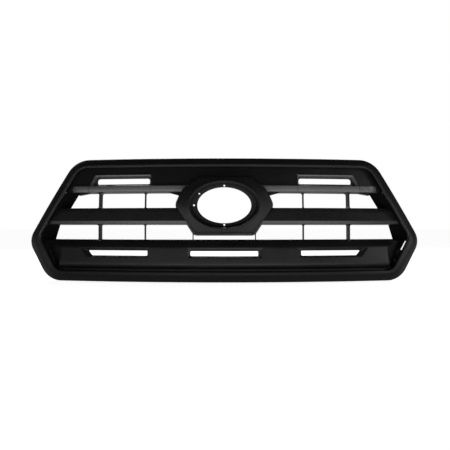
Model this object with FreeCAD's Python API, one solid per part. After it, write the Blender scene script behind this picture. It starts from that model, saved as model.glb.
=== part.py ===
import FreeCAD, Part
import math
import os
from FreeCAD import Vector

# Front grille of a pick-up truck: a six-sided moulded surround around an insert of two vented
# panels, a middle bar, upright ribs and a housing with an oval seat for a badge.
# Millimetres. X to the right seen from the front, Y rearwards, Z up.
# The origin is the centre of the badge seat, midway between its two locating holes.

# ---- driving dimensions -------------------------------------------------------------------
BOW_RADIUS = 1300.0      # plan radius of the face, which sweeps back towards the lamps
LEAN_RADIUS = 700.0      # side-view radius of the face
NOSE_Y = -30.0           # the most forward point of the face
NOSE_Z = -95.0           # the height where the face is most forward
AXIS_Y = NOSE_Y + BOW_RADIUS
SWEEP_DEG = 26.0         # half angle of every bowed section, a little wider than the part

WALL = 3.0               # general moulded wall
GAP = 0.4                # clearance between separate mouldings

# Corners of half an outline seen from the front: x, z and corner radius.
SURROUND_OUTER = [(416.5, 128.5, 70.0), (553.0, -97.1, 47.5), (494.0, -208.5, 60.0)]
SURROUND_INNER = [(402.5, 104.5, 35.0), (517.0, -86.2, 25.0), (468.6, -178.0, 28.0)]
RIM_DEPTH = 46.0         # outer skirt of the surround, front to back
INNER_SKIRT = 13.0       # inner skirt of the surround
RIM_OUTER_FILLET = 9.0
RIM_INNER_FILLET = 5.0

PLATE_FRONT = 17.0       # the insert's plates lie this far behind the face
PLATE_BACK = PLATE_FRONT + WALL
FLANGE_INSET = 5.5       # the insert's edge lies this far inside the surround's outline
INSERT_REAR = 46.0       # rear edge of the bars and shelves, on the centre plane

UPPER_BOTTOM = 37.0      # lower edge of the upper panel and of the bright strip
STRIP_TOP = 53.7
STRIP_NOSE_Y = -7.0      # top front edge of the strip
STRIP_TOE_Y = -4.5       # bottom front edge of the strip, before it turns under
SEAM_OUTER_X = 378.0     # seams of the strip
SEAM_INNER_X = 200.0
SEAM = 0.8
STRIP_LINE = [(2.2, 55.0), (STRIP_NOSE_Y, STRIP_TOP), (STRIP_TOE_Y, UPPER_BOTTOM), (-1.2, UPPER_BOTTOM - 0.6)]
STRIP_WALL = 2.2
STRIP_POST_R = 3.2

BAR_SECTION = [(INSERT_REAR, -8.6), (6.0, -6.4), (-2.0, -17.3), (-12.0, -42.4), (-6.0, -50.0),
               (INSERT_REAR, -53.6)]
LOWER_SECTION = [(INSERT_REAR, -99.0), (4.0, -95.4), (-14.0, -113.4), (-18.0, -160.0), (-15.5, -166.0),
                 (-8.0, -170.0), (-5.0, -200.0)]
CREASE_X = 457.0         # the lower panel turns back towards the surround here

RIB_X = {"outer": 346.0, "inner": 219.0}
CENTRE_RIB_X = 86.0
RIB_THICK = 2.0
RIB_FRONT = {"outer": 24.0, "inner": 52.0, "centre": 56.0}   # front edges of the ribs, behind the face
RIB_REAR = 84.0
FOOT_THICK = 3.0

HOUSING = [(70.0, 77.0, 18.0), (112.5, 43.0, 22.0), (131.5, 0.0, 20.0), (81.0, -77.0, 12.0)]
HOUSING_EDGE_Y = -10.0   # front edge of the housing's side walls
HOUSING_FRONT_Y = -24.0  # crest around the badge seat
HOUSING_REAR_Y = 48.0
HOUSING_FLARE = 6.0
SEAT_CREST = (97.0, 66.0)    # half width and half height of the ovals
SEAT_MOUTH = (94.0, 63.0)
SEAT_FLOOR = (86.0, 57.0)
SEAT_HOLE = (73.0, 48.5)
BOWL_WALL = 4.5
SEAT_PIN_Z = 53.0        # the two locating holes of the badge
SEAT_PIN_R = 2.5
CROWN = [(*SEAT_CREST, HOUSING_FRONT_Y), (112.0, 77.0, -18.0), (135.0, 95.0, -9.0), (170.0, 120.0, 4.0),
         (170.0, 120.0, 80.0)]   # half width, half height and depth of ovals on the falling faces
HOOK_SLOT = (-84.6, -79.6, -2.3, 2.3)        # x and z of the openings for the badge's hooks
HOOK_HOLE = (-69.5, -65.5, 29.5, 33.0)
HOOK_NOTCH = (72.0, 76.0, -2.5, 2.5)

# Vents in the panels: corners of the through opening, left ones; the right ones mirror them.
UPPER_VENT = [(-351.0, 73.5, 7.0), (-203.5, 73.5, 6.0), (-203.5, 58.6, 4.0), (-351.0, 58.6, 4.0)]
LOWER_VENT = [(-380.0, -120.5, 4.0), (-206.5, -120.5, 4.0), (-206.5, -139.0, 5.0), (-365.0, -139.0, 9.0)]
CENTRE_VENT = [(-94.0, -121.5, 5.0), (94.0, -121.5, 5.0), (94.0, -140.0, 6.0), (-94.0, -140.0, 6.0)]
BEZEL = [(-358.0, 84.5, 4.0), (-SEAM_INNER_X, 84.5, 2.0), (-SEAM_INNER_X, 50.0, 0.5),
         (5.5 - SEAM_OUTER_X, 50.0, 0.5)]
TRAY_FLOOR = (24.0, 26.5)    # depths behind the face of the bezel's floor and of its upright rim
TRAY_RIM = (14.5, 26.0)
TRAY_RIM_THICK = 2.2
TRAY_SPAN = (40.0, 95.0)

WEB_THICK = 2.0              # stiffening webs behind the panels
UPPER_WEBS = (-405, -300, -255, -165, 165, 255, 300, 405)
UPPER_WEB_DEPTHS = (PLATE_FRONT + 1, PLATE_FRONT + 13)
UPPER_WEB_TOP = 102.0
LOWER_WEBS = (-420, -150, -110, 110, 150, 420)
LOWER_WEB_SECTION = [(0.0, -100.0), (-12.5, -114.0), (-16.5, -160.0), (-14.0, -165.0), (-2.0, -165.0), (8.0, -100.0)]

BOLT_TAB = (150.0, 92.0)     # x and y of the two bolted tabs of the mounting rail
CLIP_TAB = (330.0, 130.0)    # x and y of the two tabs with push-in retainers
TAB_HALF = 14.0
BOLT_HOLE_R = 3.4
CLIP_HOLE_R = 4.25
RAIL_Z = 104.0           # underside of the mounting rail
RAIL_THICK = 3.0
RAIL_REAR = 68.0         # rear edge of the rail on the centre plane
RAIL_HALF = 392.0
RAIL_LEG_TOP = 121.0
GUSSETS = (-300, -190, -110, 0, 110, 190, 300)
GUSSET_THICK = 2.5

SEAL_FRONT = 56.5        # the bonnet seal stands on the rail
SEAL_WIDTH = 9.0
SEAL_HEIGHT = 15.0
SEAL_HALF = 388.0

FLANGE_R = 9.0           # push-in retainer
FLANGE_THICK = 2.0
PIN_HEAD_R = 6.0
PIN_HEAD_THICK = 1.6
PIN_R = 1.9
PIN_CLEARANCE = 0.08
RETAINER_REACH = 15.0

SCREW_R = 2.0
SCREW_HEAD_R = 4.0
SCREW_HEAD = 2.4
BOSS_R = 5.0
SEAT_STAND = 3.0         # flat seats stand this far off the plates' backs

TOWER_X = (120.0, 330.0)     # towers with spring clips along the bottom
TOWER_Z = -186.0
TOWER_LENGTH = 30.0
TOWER_WIDTH = 12.0
CLIP_SHEET = 0.8
CLIP_LEAF = [(8.0, 1.7), (13.0, 1.7), (19.0, 5.2), (TOWER_LENGTH + 0.3, 1.7)]   # one leaf: depth, height
LOCATOR = (505.0, -45.0)
LOCATOR_R = 4.0
LOCATOR_LENGTH = 12.0
LOCATOR_NECK_R = 5.0     # the pad sits on this thicker part of the locator
PAD_R = 7.0
PAD_THICK = 6.0
COLLAR = 5.0

FAR = 400.0              # half depth of every cutting prism


# ---- geometry of the swept face ------------------------------------------------------------
def face_y(z):
    """Depth of the face on the centre plane at a height."""
    return NOSE_Y + LEAN_RADIUS - math.sqrt(LEAN_RADIUS ** 2 - (z - NOSE_Z) ** 2)


def bowed(x, y):
    """Depth at x of a line that lies at depth y on the centre plane."""
    return AXIS_Y - math.sqrt((AXIS_Y - y) ** 2 - x * x)


def on_plate(x, z, back):
    """Depth of a point that lies a distance behind the face."""
    return bowed(x, face_y(z) + back)


def sweep(face):
    """Turns a section on the centre plane about the upright axis of the bow."""
    base, up = Vector(0, AXIS_Y, 0), Vector(0, 0, 1)
    face.rotate(base, up, -SWEEP_DEG)
    return face.revolve(base, up, 2 * SWEEP_DEG)


def swept(points):
    """A bowed bar with the section given as (y, z) corners."""
    corners = [Vector(0, y, z) for y, z in points]
    return sweep(Part.Face(Part.makePolygon(corners + corners[:1])))


def shell(front, back, low=-230.0, high=150.0):
    """The layer between two depths behind the face."""
    def arc(depth):
        radius = LEAN_RADIUS - depth
        ends = []
        for z in (low, (low + high) / 2, high):
            ends.append(Vector(0, NOSE_Y + LEAN_RADIUS - math.sqrt(radius ** 2 - (z - NOSE_Z) ** 2), z))
        return Part.Arc(*ends).toShape()
    fore, aft = arc(front), arc(back)
    top = Part.makeLine(fore.Vertexes[1].Point, aft.Vertexes[1].Point)
    bottom = Part.makeLine(fore.Vertexes[0].Point, aft.Vertexes[0].Point)
    return sweep(Part.Face(Part.Wire(Part.__sortEdges__([fore, top, aft, bottom]))))


def offset_line(points, distance):
    """A line of (y, z) points moved to the left of its course."""
    normals = []
    for (y0, z0), (y1, z1) in zip(points, points[1:]):
        length = math.hypot(y1 - y0, z1 - z0)
        normals.append((-(z1 - z0) / length, (y1 - y0) / length))
    moved = []
    for i, (y, z) in enumerate(points):
        a, b = normals[max(i - 1, 0)], normals[min(i, len(normals) - 1)]
        share = 1 + a[0] * b[0] + a[1] * b[1]
        moved.append((y + distance * (a[0] + b[0]) / share, z + distance * (a[1] + b[1]) / share))
    return moved


def strip(points, thick):
    """A wall section: a line of (y, z) points thickened to the left of its course."""
    return points + offset_line(points, thick)[::-1]


# ---- outlines seen from the front ----------------------------------------------------------
def mirrored(corners):
    """A whole outline from the corners of its right half, clockwise from the top."""
    return corners + [(-x, z, r) for x, z, r in reversed(corners)]


def flipped(corners):
    """The mirror image of an outline, in the same turning sense."""
    return [(-x, z, r) for x, z, r in reversed(corners)]


def inset(corners, distance):
    """A convex outline moved inwards by a distance."""
    moved = []
    for i, (x, z, r) in enumerate(corners):
        bx, bz, _ = corners[i - 1]
        ax, az, _ = corners[(i + 1) % len(corners)]
        before, after = Vector(bx - x, 0, bz - z).normalize(), Vector(ax - x, 0, az - z).normalize()
        half = before.getAngle(after) / 2
        step = (before + after).normalize() * (distance / math.sin(half))
        moved.append((x + step.x, z + step.z, max(r - distance, 0.5)))
    return moved


def rounded(corners, y=0.0):
    """A closed wire of straight lines joined by tangent arcs."""
    arcs = []
    for i, (x, z, r) in enumerate(corners):
        bx, bz, _ = corners[i - 1]
        ax, az, _ = corners[(i + 1) % len(corners)]
        here = Vector(x, y, z)
        before, after = Vector(bx - x, 0, bz - z).normalize(), Vector(ax - x, 0, az - z).normalize()
        half = before.getAngle(after) / 2
        inward = (before + after).normalize()
        centre = here + inward * (r / math.sin(half))
        arcs.append((here + before * (r / math.tan(half)), centre - inward * r, here + after * (r / math.tan(half))))
    edges = []
    for i, (start, middle, stop) in enumerate(arcs):
        edges.append(Part.makeLine(arcs[i - 1][2], start))
        edges.append(Part.Arc(start, middle, stop).toShape())
    return Part.Wire(edges)


def prism(corners, y0=-FAR, y1=FAR):
    """An outline cut straight through from front to back."""
    return Part.Face(rounded(corners, y0)).extrude(Vector(0, y1 - y0, 0))


def oval(half_width, half_height, y):
    """An upright ellipse as an edge."""
    ellipse = Part.Ellipse(Vector(half_width, y, 0), Vector(0, y, half_height), Vector(0, y, 0))
    return ellipse.toShape()


def oval_prism(half, y0, y1):
    return Part.Face(Part.Wire(oval(*half, y0))).extrude(Vector(0, y1 - y0, 0))


def box(x0, x1, y0, y1, z0, z1):
    return Part.makeBox(x1 - x0, y1 - y0, z1 - z0, Vector(x0, y0, z0))


def rod(r, x, y, z, length, direction=(0, 1, 0)):
    """A cylinder that starts at a point."""
    return Part.makeCylinder(r, length, Vector(x, y, z), Vector(*direction))


def wall(levels, thick):
    """A leaning wall through levels (z, x0, back0, x1, back1), thickened outwards along X."""
    sections = []
    for z, x0, back0, x1, back1 in levels:
        away = thick if x0 > 0 else -thick
        front = Vector(x0, on_plate(x0, z, back0), z)
        rear = Vector(x1, on_plate(x1, z, back1), z)
        side = Vector(away, 0, 0)
        sections.append(Part.makePolygon([front, rear, rear + side, front + side, front]))
    return Part.makeLoft(sections, True, True)


def fused(shapes):
    """One shape of several, added one after another."""
    whole = shapes[0]
    for shape in shapes[1:]:
        whole = whole.fuse(shape)
    return whole


def joined(shapes):
    """One shape of several, with the seams inside flat faces taken out where that keeps it sound."""
    whole = shapes[0].multiFuse(shapes[1:])
    neat = whole.removeSplitter()
    return neat if neat.isValid() else whole


def mirror(shape):
    return shape.mirror(Vector(0, 0, 0), Vector(1, 0, 0))


def nearest_solid(shape, x, z):
    """The solid of a cut shape whose centre lies nearest to a place seen from the front."""
    return min(shape.Solids, key=lambda s: math.hypot(s.CenterOfMass.x - x, s.CenterOfMass.z - z))


# ---- screws --------------------------------------------------------------------------------
TOP_SCREWS = [(x, 116.0) for x in (-385.0, -230.0, -75.0, 75.0, 230.0, 385.0)]
BOTTOM_SCREWS = [(x, -193.0) for x in (-440.0, -225.0, 0.0, 225.0, 440.0)]
SIDE_SCREWS = [(side * x, z) for side in (-1, 1) for x, z in ((468.5, 17.0), (524.5, -78.0))]
STRIP_SCREWS = [(side * x, 45.0) for side in (-1, 1) for x in (140.0, 185.0, 215.0, 363.0, 392.0, 418.0)]
HOUSING_SCREWS = [(side * x, z) for side in (-1, 1) for x, z in ((30.0, 87.0), (99.0, 69.0))]


def screw(x, y, z, shank, direction=(0, -1, 0)):
    """A pan-head tapping screw: its head's underside is at the point, its tip in the direction."""
    head = rod(SCREW_HEAD_R, 0, 0, 0, SCREW_HEAD, (0, 0, 1))
    head = head.makeFillet(0.9, [e for e in head.Edges if e.Closed and e.BoundBox.ZMin > SCREW_HEAD - 0.1])
    cross = [box(-2.2, 2.2, -0.45, 0.45, 1.0, 4), box(-0.45, 0.45, -2.2, 2.2, 1.0, 4)]
    body = rod(SCREW_R, 0, 0, -shank, shank, (0, 0, 1))
    tip = Part.makeCone(0.4, SCREW_R, 2.0, Vector(0, 0, -shank - 2.0))
    whole = joined([head, body, tip]).cut(joined(cross))
    turn = FreeCAD.Rotation(Vector(0, 0, -1), Vector(*direction))
    whole.Placement = FreeCAD.Placement(Vector(x, y, z), turn)
    return whole


def holes(points, radius=SCREW_R + 0.4):
    return Part.makeCompound([rod(radius, x, -60, z, 300) for x, z in points])


def seats(points, back):
    """Flat-ended stands on the back of a plate, for screw heads."""
    behind = shell(back - WALL / 2, back + 20)
    stands = []
    for x, z in points:
        rear = on_plate(x, z, back) + SEAT_STAND
        stands.append(rod(BOSS_R + 0.5, x, rear - 12, z, 12).common(behind))
    return stands


def screws(points, back, grip):
    """Screws with their heads on the seats of a plate whose back is at a depth."""
    return [screw(x, on_plate(x, z, back) + SEAT_STAND, z, grip) for x, z in points]


# ---- surround ------------------------------------------------------------------------------
def on_face(edge):
    """True for an edge that lies in the front surface of the swept face."""
    for share in (0.1, 0.5, 0.9):
        p = edge.valueAt(edge.FirstParameter + share * (edge.LastParameter - edge.FirstParameter))
        if abs(AXIS_Y - math.hypot(p.x, AXIS_Y - p.y) - face_y(p.z)) > 0.05:
            return False
    return True


def front_edges(ring, around_hole):
    """The front edges of the ring, either round its opening or round its outside."""
    opening = prism(inset(mirrored(SURROUND_INNER), -1.0))
    chosen = []
    for edge in ring.Edges:
        middle = edge.valueAt((edge.FirstParameter + edge.LastParameter) / 2)
        if on_face(edge) and opening.isInside(middle, 1e-3, True) == around_hole:
            chosen.append(edge)
    return chosen


def screw_bosses():
    """Posts behind the surround's face, each with a pilot hole open at the back."""
    posts, pilots = [], []
    for x, z in TOP_SCREWS + BOTTOM_SCREWS + SIDE_SCREWS:
        front, back = on_plate(x, z, 2.0), on_plate(x, z, PLATE_FRONT) - 2.4
        posts.append(rod(BOSS_R, x, front, z, back - front))
        pilots.append(rod(SCREW_R + 0.05, x, front + 4.5, z, back - front))
    return posts, Part.makeCompound(pilots)


def build_surround():
    outer, inner = mirrored(SURROUND_OUTER), mirrored(SURROUND_INNER)
    ring = prism(outer).cut(prism(inner)).common(shell(0, RIM_DEPTH)).Solids[0]
    ring = ring.makeFillet(RIM_OUTER_FILLET, front_edges(ring, False))
    ring = ring.makeFillet(RIM_INNER_FILLET, front_edges(ring, True))
    skirt = WALL + 0.8
    hollow = prism(inset(outer, skirt)).cut(prism(inset(inner, -WALL))).common(shell(skirt, 80))
    behind = prism(inset(outer, skirt)).common(shell(INNER_SKIRT, 80))
    posts, pilots = screw_bosses()
    body = ring.cut(hollow).cut(behind)
    return body.multiFuse(posts).cut(pilots)


# ---- insert: panels and side walls ---------------------------------------------------------
def insert_edge():
    return prism(inset(mirrored(SURROUND_OUTER), FLANGE_INSET))


def housing_envelope(grow=0.0, beyond=0.0):
    """The outside of the badge housing's flared walls, filled in, and reaching beyond its rear."""
    outline = inset(mirrored(HOUSING), -grow)
    rear_y = HOUSING_REAR_Y + max(grow, 0) + beyond
    flare = HOUSING_FLARE * (rear_y - HOUSING_EDGE_Y) / (HOUSING_REAR_Y - HOUSING_EDGE_Y)
    walls = Part.makeLoft([rounded(outline, HOUSING_EDGE_Y - 30), rounded(outline, HOUSING_EDGE_Y)], True, True)
    skirt = [rounded(outline, HOUSING_EDGE_Y), rounded(inset(outline, -flare), rear_y)]
    return joined([walls, Part.makeLoft(skirt, True, True)])


SHELF_LINE = [(face_y(UPPER_BOTTOM) + PLATE_FRONT, UPPER_BOTTOM), (INSERT_REAR, 33.8)]
SHELF_HALF = 408.0

# Wedges that close the upper corners of the upper air cells: corners x, z on the right.
WEDGES = [[(150.0, 35.5, 0.5), (150.0, 34.2, 0.5), (116.0, 25.0, 0.5), (116.0, 35.5, 0.5)],
          [(374.0, 35.5, 0.5), (407.9, 35.5, 0.5), (407.9, 29.0, 0.5), (374.0, 34.2, 0.5)]]

RIB_XS = [side * x for side in (-1, 1) for x in (CENTRE_RIB_X, *RIB_X.values())]
FOOT_SCREW_X = 4.5       # from the rib, and the same side on every rib
UPPER_FOOT_Z = 38.5
LOWER_FOOT_Z = -106.0


def foot_screw_at(x):
    return x + FOOT_SCREW_X, bowed(x, INSERT_REAR - 10)


def foot_pilots(z, ribs, radius=SCREW_R + 0.05):
    """Upright holes for the screws in the ribs' feet."""
    return Part.makeCompound([rod(radius, *foot_screw_at(x), z - 5, 12, (0, 0, 1)) for x in ribs])


def webs_at(places, low, high):
    """Upright walls from front to back at places along X."""
    half = WEB_THICK / 2
    return joined([box(x - half, x + half, -FAR, FAR, low, high) for x in places])


# The pilots for the housing's screws stop short of the panel's face.
PILOT_DEPTH = 1.5


def build_upper_panel():
    plate = shell(PLATE_FRONT, PLATE_BACK, UPPER_BOTTOM, 140).common(insert_edge())
    shelf = swept(strip(SHELF_LINE, WALL)).common(box(-SHELF_HALF, SHELF_HALF, -FAR, FAR, 0, 80))
    webs = webs_at(UPPER_WEBS, UPPER_BOTTOM, UPPER_WEB_TOP)
    webs = webs.common(shell(*UPPER_WEB_DEPTHS, UPPER_BOTTOM - 1, UPPER_WEB_TOP))
    wedges = [prism(c) for c in WEDGES] + [mirror(prism(c)) for c in WEDGES]
    wedges = [w.common(shell(PLATE_FRONT + 14, PLATE_FRONT + 44, 20, 40)) for w in wedges]
    panel = joined([plate, shelf, webs] + wedges + seats(STRIP_SCREWS, PLATE_BACK))
    bezels = Part.makeCompound([prism(inset(c, -GAP)) for c in (BEZEL, flipped(BEZEL))])
    panel = panel.cut(bezels).cut(housing_envelope(GAP))
    pilots = [rod(SCREW_R + 0.05, x, on_plate(x, z, PLATE_BACK) - PILOT_DEPTH, z, 300) for x, z in HOUSING_SCREWS]
    panel = panel.cut(holes(TOP_SCREWS + STRIP_SCREWS)).cut(Part.makeCompound(pilots))
    return panel.cut(foot_pilots(UPPER_FOOT_Z - 4, [x for x in RIB_XS if abs(x) > CENTRE_RIB_X]))


# The side walls: height, then x and depth behind the face of the front and the rear edge.
CHEEK = [(36.0, 443.8, 17.0, 411.0, 66.0), (-4.0, 467.8, 17.0, 435.5, 66.0), (-53.0, 497.2, 17.0, 468.8, 66.0),
         (-84.0, 515.0, 17.0, 479.0, 66.0), (-101.0, 510.0, 17.0, 484.0, 66.0)]
CHEEK_TOP = [(34.0, 442.1, 21.6, 412.2, 66.0), (48.0, 433.5, 21.6, 403.6, 66.0)]


def lower_clearance():
    """The space inside the lower panel and a little round it."""
    rear = INSERT_REAR + GAP
    line = offset_line(LOWER_SECTION, -GAP)
    return swept([(rear, -150), (rear, line[0][1])] + line[1:4])


def build_cheek():
    """The right-hand side wall of the insert, between the surround and the ends of the air cells."""
    side = wall(CHEEK, WALL).cut(lower_clearance()).cut(box(498, 600, -60, 300, -110, -94.5)).Solids[0]
    tuck = wall(CHEEK_TOP, WALL)
    flange = shell(PLATE_FRONT, PLATE_BACK, -94.5, 36.6).common(insert_edge())
    beyond = prism([(443.4, 36.6, 0.5), (600, 36.6, 0.5), (600, -94.5, 0.5), (512, -94.5, 0.5), (515, -84, 0.5)])
    flange = flange.common(beyond)
    x, z = LOCATOR
    start = on_plate(x, z, PLATE_BACK) - WALL / 2
    neck = start + WALL / 2 + COLLAR
    collar = rod(PAD_R, x, start, z, neck - start)
    locator = joined([rod(LOCATOR_NECK_R, x, neck - 1, z, PAD_THICK + 1.5),
                      rod(LOCATOR_R, x, neck + PAD_THICK, z, LOCATOR_LENGTH)])
    points = [p for p in SIDE_SCREWS if p[0] > 0]
    body = joined([side, tuck, flange, locator, collar] + seats(points, PLATE_BACK))
    return body.cut(holes(points))


FACET = [(-95.4, 4.0), (-113.4, -14.0), (-160.0, -18.0), (-166.0, -15.5)]
FACET_BACK = 34.0


def rim_inner_x(z):
    """Half width of the surround's opening along its lower sides."""
    (x0, z0, _), (x1, z1, _) = SURROUND_INNER[1], SURROUND_INNER[2]
    return x0 + (x1 - x0) * (z - z0) / (z1 - z0)


def lower_end_facet():
    """The right-hand end of the lower panel: a wall that turns back to a flange behind the rim."""
    sections = []
    for z, y in FACET:
        a = Vector(CREASE_X - 1, bowed(CREASE_X - 1, y), z)
        x1 = rim_inner_x(z) - 8.0
        b = Vector(x1, on_plate(x1, z, FACET_BACK), z)
        back = Vector(0, WALL, 0)
        sections.append(Part.makePolygon([a, b, b + back, a + back, a]))
    facet = Part.makeLoft(sections, True, True)
    region = prism([(rim_inner_x(-95.4) - 9.0, -95.4, 0.5), (600, -95.4, 0.5), (600, -166, 0.5),
                    (rim_inner_x(-166) - 9.0, -166, 0.5)])
    flange = shell(FACET_BACK, FACET_BACK + WALL).common(insert_edge()).common(region)
    roof = swept(strip(LOWER_SECTION[:2], WALL)).common(box(CREASE_X - 1, 500, -60, 400, -105, -90))
    floor = shell(PLATE_FRONT - 2, FACET_BACK + WALL, -169, -166).common(box(CREASE_X - 1, 600, -60, 400, -169, -166))
    corner = shell(PLATE_FRONT, PLATE_BACK, -204, -168).common(box(CREASE_X - 1, 600, -60, 400, -204, -168))
    return [facet, flange, roof, floor.common(insert_edge()), corner.common(insert_edge())]


def end_slot():
    """The slit beside the rim at the right-hand end only."""
    top, bottom = rim_inner_x(-97.5) + 0.5, rim_inner_x(-124) + 0.5
    wide = 8.5
    return prism([(top, -97.5, 1.0), (top + wide, -97.5, 1.0), (bottom + wide, -124, 1.0), (bottom, -124, 1.0)])


def tower(x):
    """A flat tongue behind the lower edge, for a spring clip."""
    start, half = bowed(x, LOWER_SECTION[-1][0]), TOWER_WIDTH / 2
    return box(x - half, x + half, start, start + TOWER_LENGTH, TOWER_Z - WALL / 2, TOWER_Z + WALL / 2)


def build_lower_panel():
    bar = swept(strip(LOWER_SECTION, WALL)).common(box(-CREASE_X, CREASE_X, -60, 400, -210, -90))
    bar = bar.common(prism(inset(mirrored(SURROUND_OUTER), FLANGE_INSET)))
    facets = lower_end_facet()
    webs = swept(LOWER_WEB_SECTION).common(webs_at(LOWER_WEBS, -210, -90))
    towers = [tower(side * x) for x in TOWER_X for side in (-1, 1)]
    panel = joined([bar, webs] + facets + [mirror(f) for f in facets] + towers + seats(BOTTOM_SCREWS, PLATE_BACK))
    vents = Part.makeCompound([prism(c) for c in (LOWER_VENT, flipped(LOWER_VENT), CENTRE_VENT)])
    panel = panel.cut(vents).cut(holes(BOTTOM_SCREWS)).cut(end_slot())
    return panel.cut(foot_pilots(LOWER_FOOT_Z + 4, RIB_XS))


# ---- insert: bars, strip and bezels --------------------------------------------------------
def outside_cheeks():
    """Everything beyond the inner faces of the two side walls, with a little clearance."""
    levels = []
    for z, x0, b0, x1, b1 in CHEEK:
        lean = (x1 - x0) / (b1 - b0)
        levels.append((z, x0 - 40 * lean - 2 * GAP, b0 - 40, x1 + 20 * lean - 2 * GAP, b1 + 20))
    side = wall(levels, 200)
    return Part.makeCompound([side, mirror(side)])


def build_mid_bars():
    bar = swept(strip(BAR_SECTION, WALL)).common(box(-520, 520, -60, 400, -60, 0))
    bar = bar.cut(outside_cheeks()).cut(housing_envelope(GAP))
    return nearest_solid(bar, 280, -30), nearest_solid(bar, -280, -30)


def strip_channel():
    """The bright strip's channel section, open towards the panel."""
    return swept(strip(STRIP_LINE, STRIP_WALL)).common(prism(inset(mirrored(SURROUND_INNER), 2.0)))


def with_posts(piece, low, high):
    """Adds the posts that take the strip's screws between two places along X."""
    posts, pilots = [], []
    for x, z in STRIP_SCREWS:
        if low < x < high:
            front, back = bowed(x, STRIP_TOE_Y), on_plate(x, z, PLATE_FRONT) - 1.4
            posts.append(rod(STRIP_POST_R, x, front, z, back - front))
            pilots.append(rod(SCREW_R + 0.05, x, back - 3.4, z, 10))
    return joined([piece] + posts).cut(Part.makeCompound(pilots))


def build_strip_pieces():
    """Right-hand end, bezel and inner length of the strip."""
    channel = strip_channel()
    end_seam = [(SEAM_OUTER_X - 7 + SEAM, 60, 0.1), (600, 60, 0.1), (600, 30, 0.1), (SEAM_OUTER_X + SEAM, 30, 0.1)]
    end = channel.common(prism(end_seam))
    inner = channel.common(box(0, SEAM_INNER_X - SEAM, -60, 300, 30, 60)).cut(housing_envelope(GAP))
    return with_posts(end.Solids[0], SEAM_OUTER_X, 600), with_posts(inner.Solids[0], 0, SEAM_INNER_X)


def build_bezel():
    """The right-hand vent bezel: a tray with a slot, and its length of the strip."""
    outline, slot = flipped(BEZEL), flipped(UPPER_VENT)
    floor = prism(outline).common(shell(*TRAY_FLOOR, *TRAY_SPAN))
    rim = prism(outline).cut(prism(inset(outline, TRAY_RIM_THICK))).common(shell(*TRAY_RIM, *TRAY_SPAN))
    reach = [(SEAM_INNER_X, 60, 0.1), (SEAM_OUTER_X - 7, 60, 0.1), (SEAM_OUTER_X, 30, 0.1), (SEAM_INNER_X, 30, 0.1)]
    length = strip_channel().common(prism(reach))
    return with_posts(joined([floor, rim, length]).cut(prism(slot)), SEAM_INNER_X, SEAM_OUTER_X)


# ---- ribs ----------------------------------------------------------------------------------
def blade(x, name, low, high):
    half = RIB_THICK / 2
    return shell(RIB_FRONT[name], RIB_REAR, low, high).common(box(x - half, x + half, -60, 400, low, high))


def foot(x0, x1, at, z):
    """A flat foot that lies along a shelf, from a little before its rear edge."""
    return box(x0, x1, bowed(at, INSERT_REAR - 18), bowed(at, INSERT_REAR + 4), z, z + FOOT_THICK)


def shelf_clearances():
    upper = offset_line(SHELF_LINE, -GAP)
    rear = INSERT_REAR + GAP
    upper = swept([(upper[0][0] - 20, upper[0][1]), (rear, upper[1][1]), (rear, 60), (upper[0][0] - 20, 60)])
    bar = offset_line(BAR_SECTION, -GAP)
    bar = swept([(rear, bar[0][1])] + bar[1:-1] + [(rear, bar[-1][1])])
    return joined([upper, lower_clearance(), bar])


def build_rib(x, name):
    """An upright rib that slots over the bar from behind, with a foot on each shelf."""
    body = blade(x, name, LOWER_FOOT_Z, UPPER_FOOT_Z + FOOT_THICK).cut(shelf_clearances())
    body = joined([body, foot(x - 9, x + 9, x, UPPER_FOOT_Z), foot(x - 9, x + 9, x, LOWER_FOOT_Z)])
    for z in (UPPER_FOOT_Z, LOWER_FOOT_Z):
        body = body.cut(foot_pilots(z, [x], SCREW_R + 0.3))
    return body


HOUSING_FOOT_Z = -77.4
HOUSING_FOOT_X = (57.0, 75.0)
HOUSING_FOOT_SCREW = (66.0, 41.0)


def build_centre_rib(x):
    """A short rib between the badge housing and the lower panel, with a foot in each."""
    side = math.copysign(1, x)
    top = HOUSING_FOOT_Z + FOOT_THICK
    body = blade(x, "centre", LOWER_FOOT_Z, top).cut(shelf_clearances()).cut(housing_envelope(GAP))
    near, far = sorted(side * p for p in HOUSING_FOOT_X)
    low, high = sorted((side * HOUSING_FOOT_X[0], x + side * RIB_THICK / 2))
    rear = HOUSING_REAR_Y + 2 * GAP
    inside = box(near, far, 34, rear + FOOT_THICK, HOUSING_FOOT_Z, top)
    bridge = box(low, high, rear, rear + FOOT_THICK, HOUSING_FOOT_Z, top)
    body = joined([body, inside, bridge, foot(x - 9, x + 9, x, LOWER_FOOT_Z)])
    body = body.cut(foot_pilots(LOWER_FOOT_Z, [x], SCREW_R + 0.3))
    return body.cut(rod(SCREW_R + 0.3, side * HOUSING_FOOT_SCREW[0], HOUSING_FOOT_SCREW[1], -90, 30, (0, 0, 1)))


# ---- badge housing -------------------------------------------------------------------------
def crown(back):
    """The faces that fall away from the badge seat, a distance behind the front ones."""
    return Part.makeLoft([Part.Wire(oval(a, b, y + back)) for a, b, y in CROWN], True, True)


def seat_loft(grow, y0, y1):
    """The badge seat's tapering bowl between two depths, grown by a wall."""
    rings = []
    for y in (y0, y1):
        share = y / HOUSING_FRONT_Y
        half = [f + share * (m - f) + grow for m, f in zip(SEAT_MOUTH, SEAT_FLOOR)]
        rings.append(Part.Wire(oval(*half, y)))
    return Part.makeLoft(rings, True, True)


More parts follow.
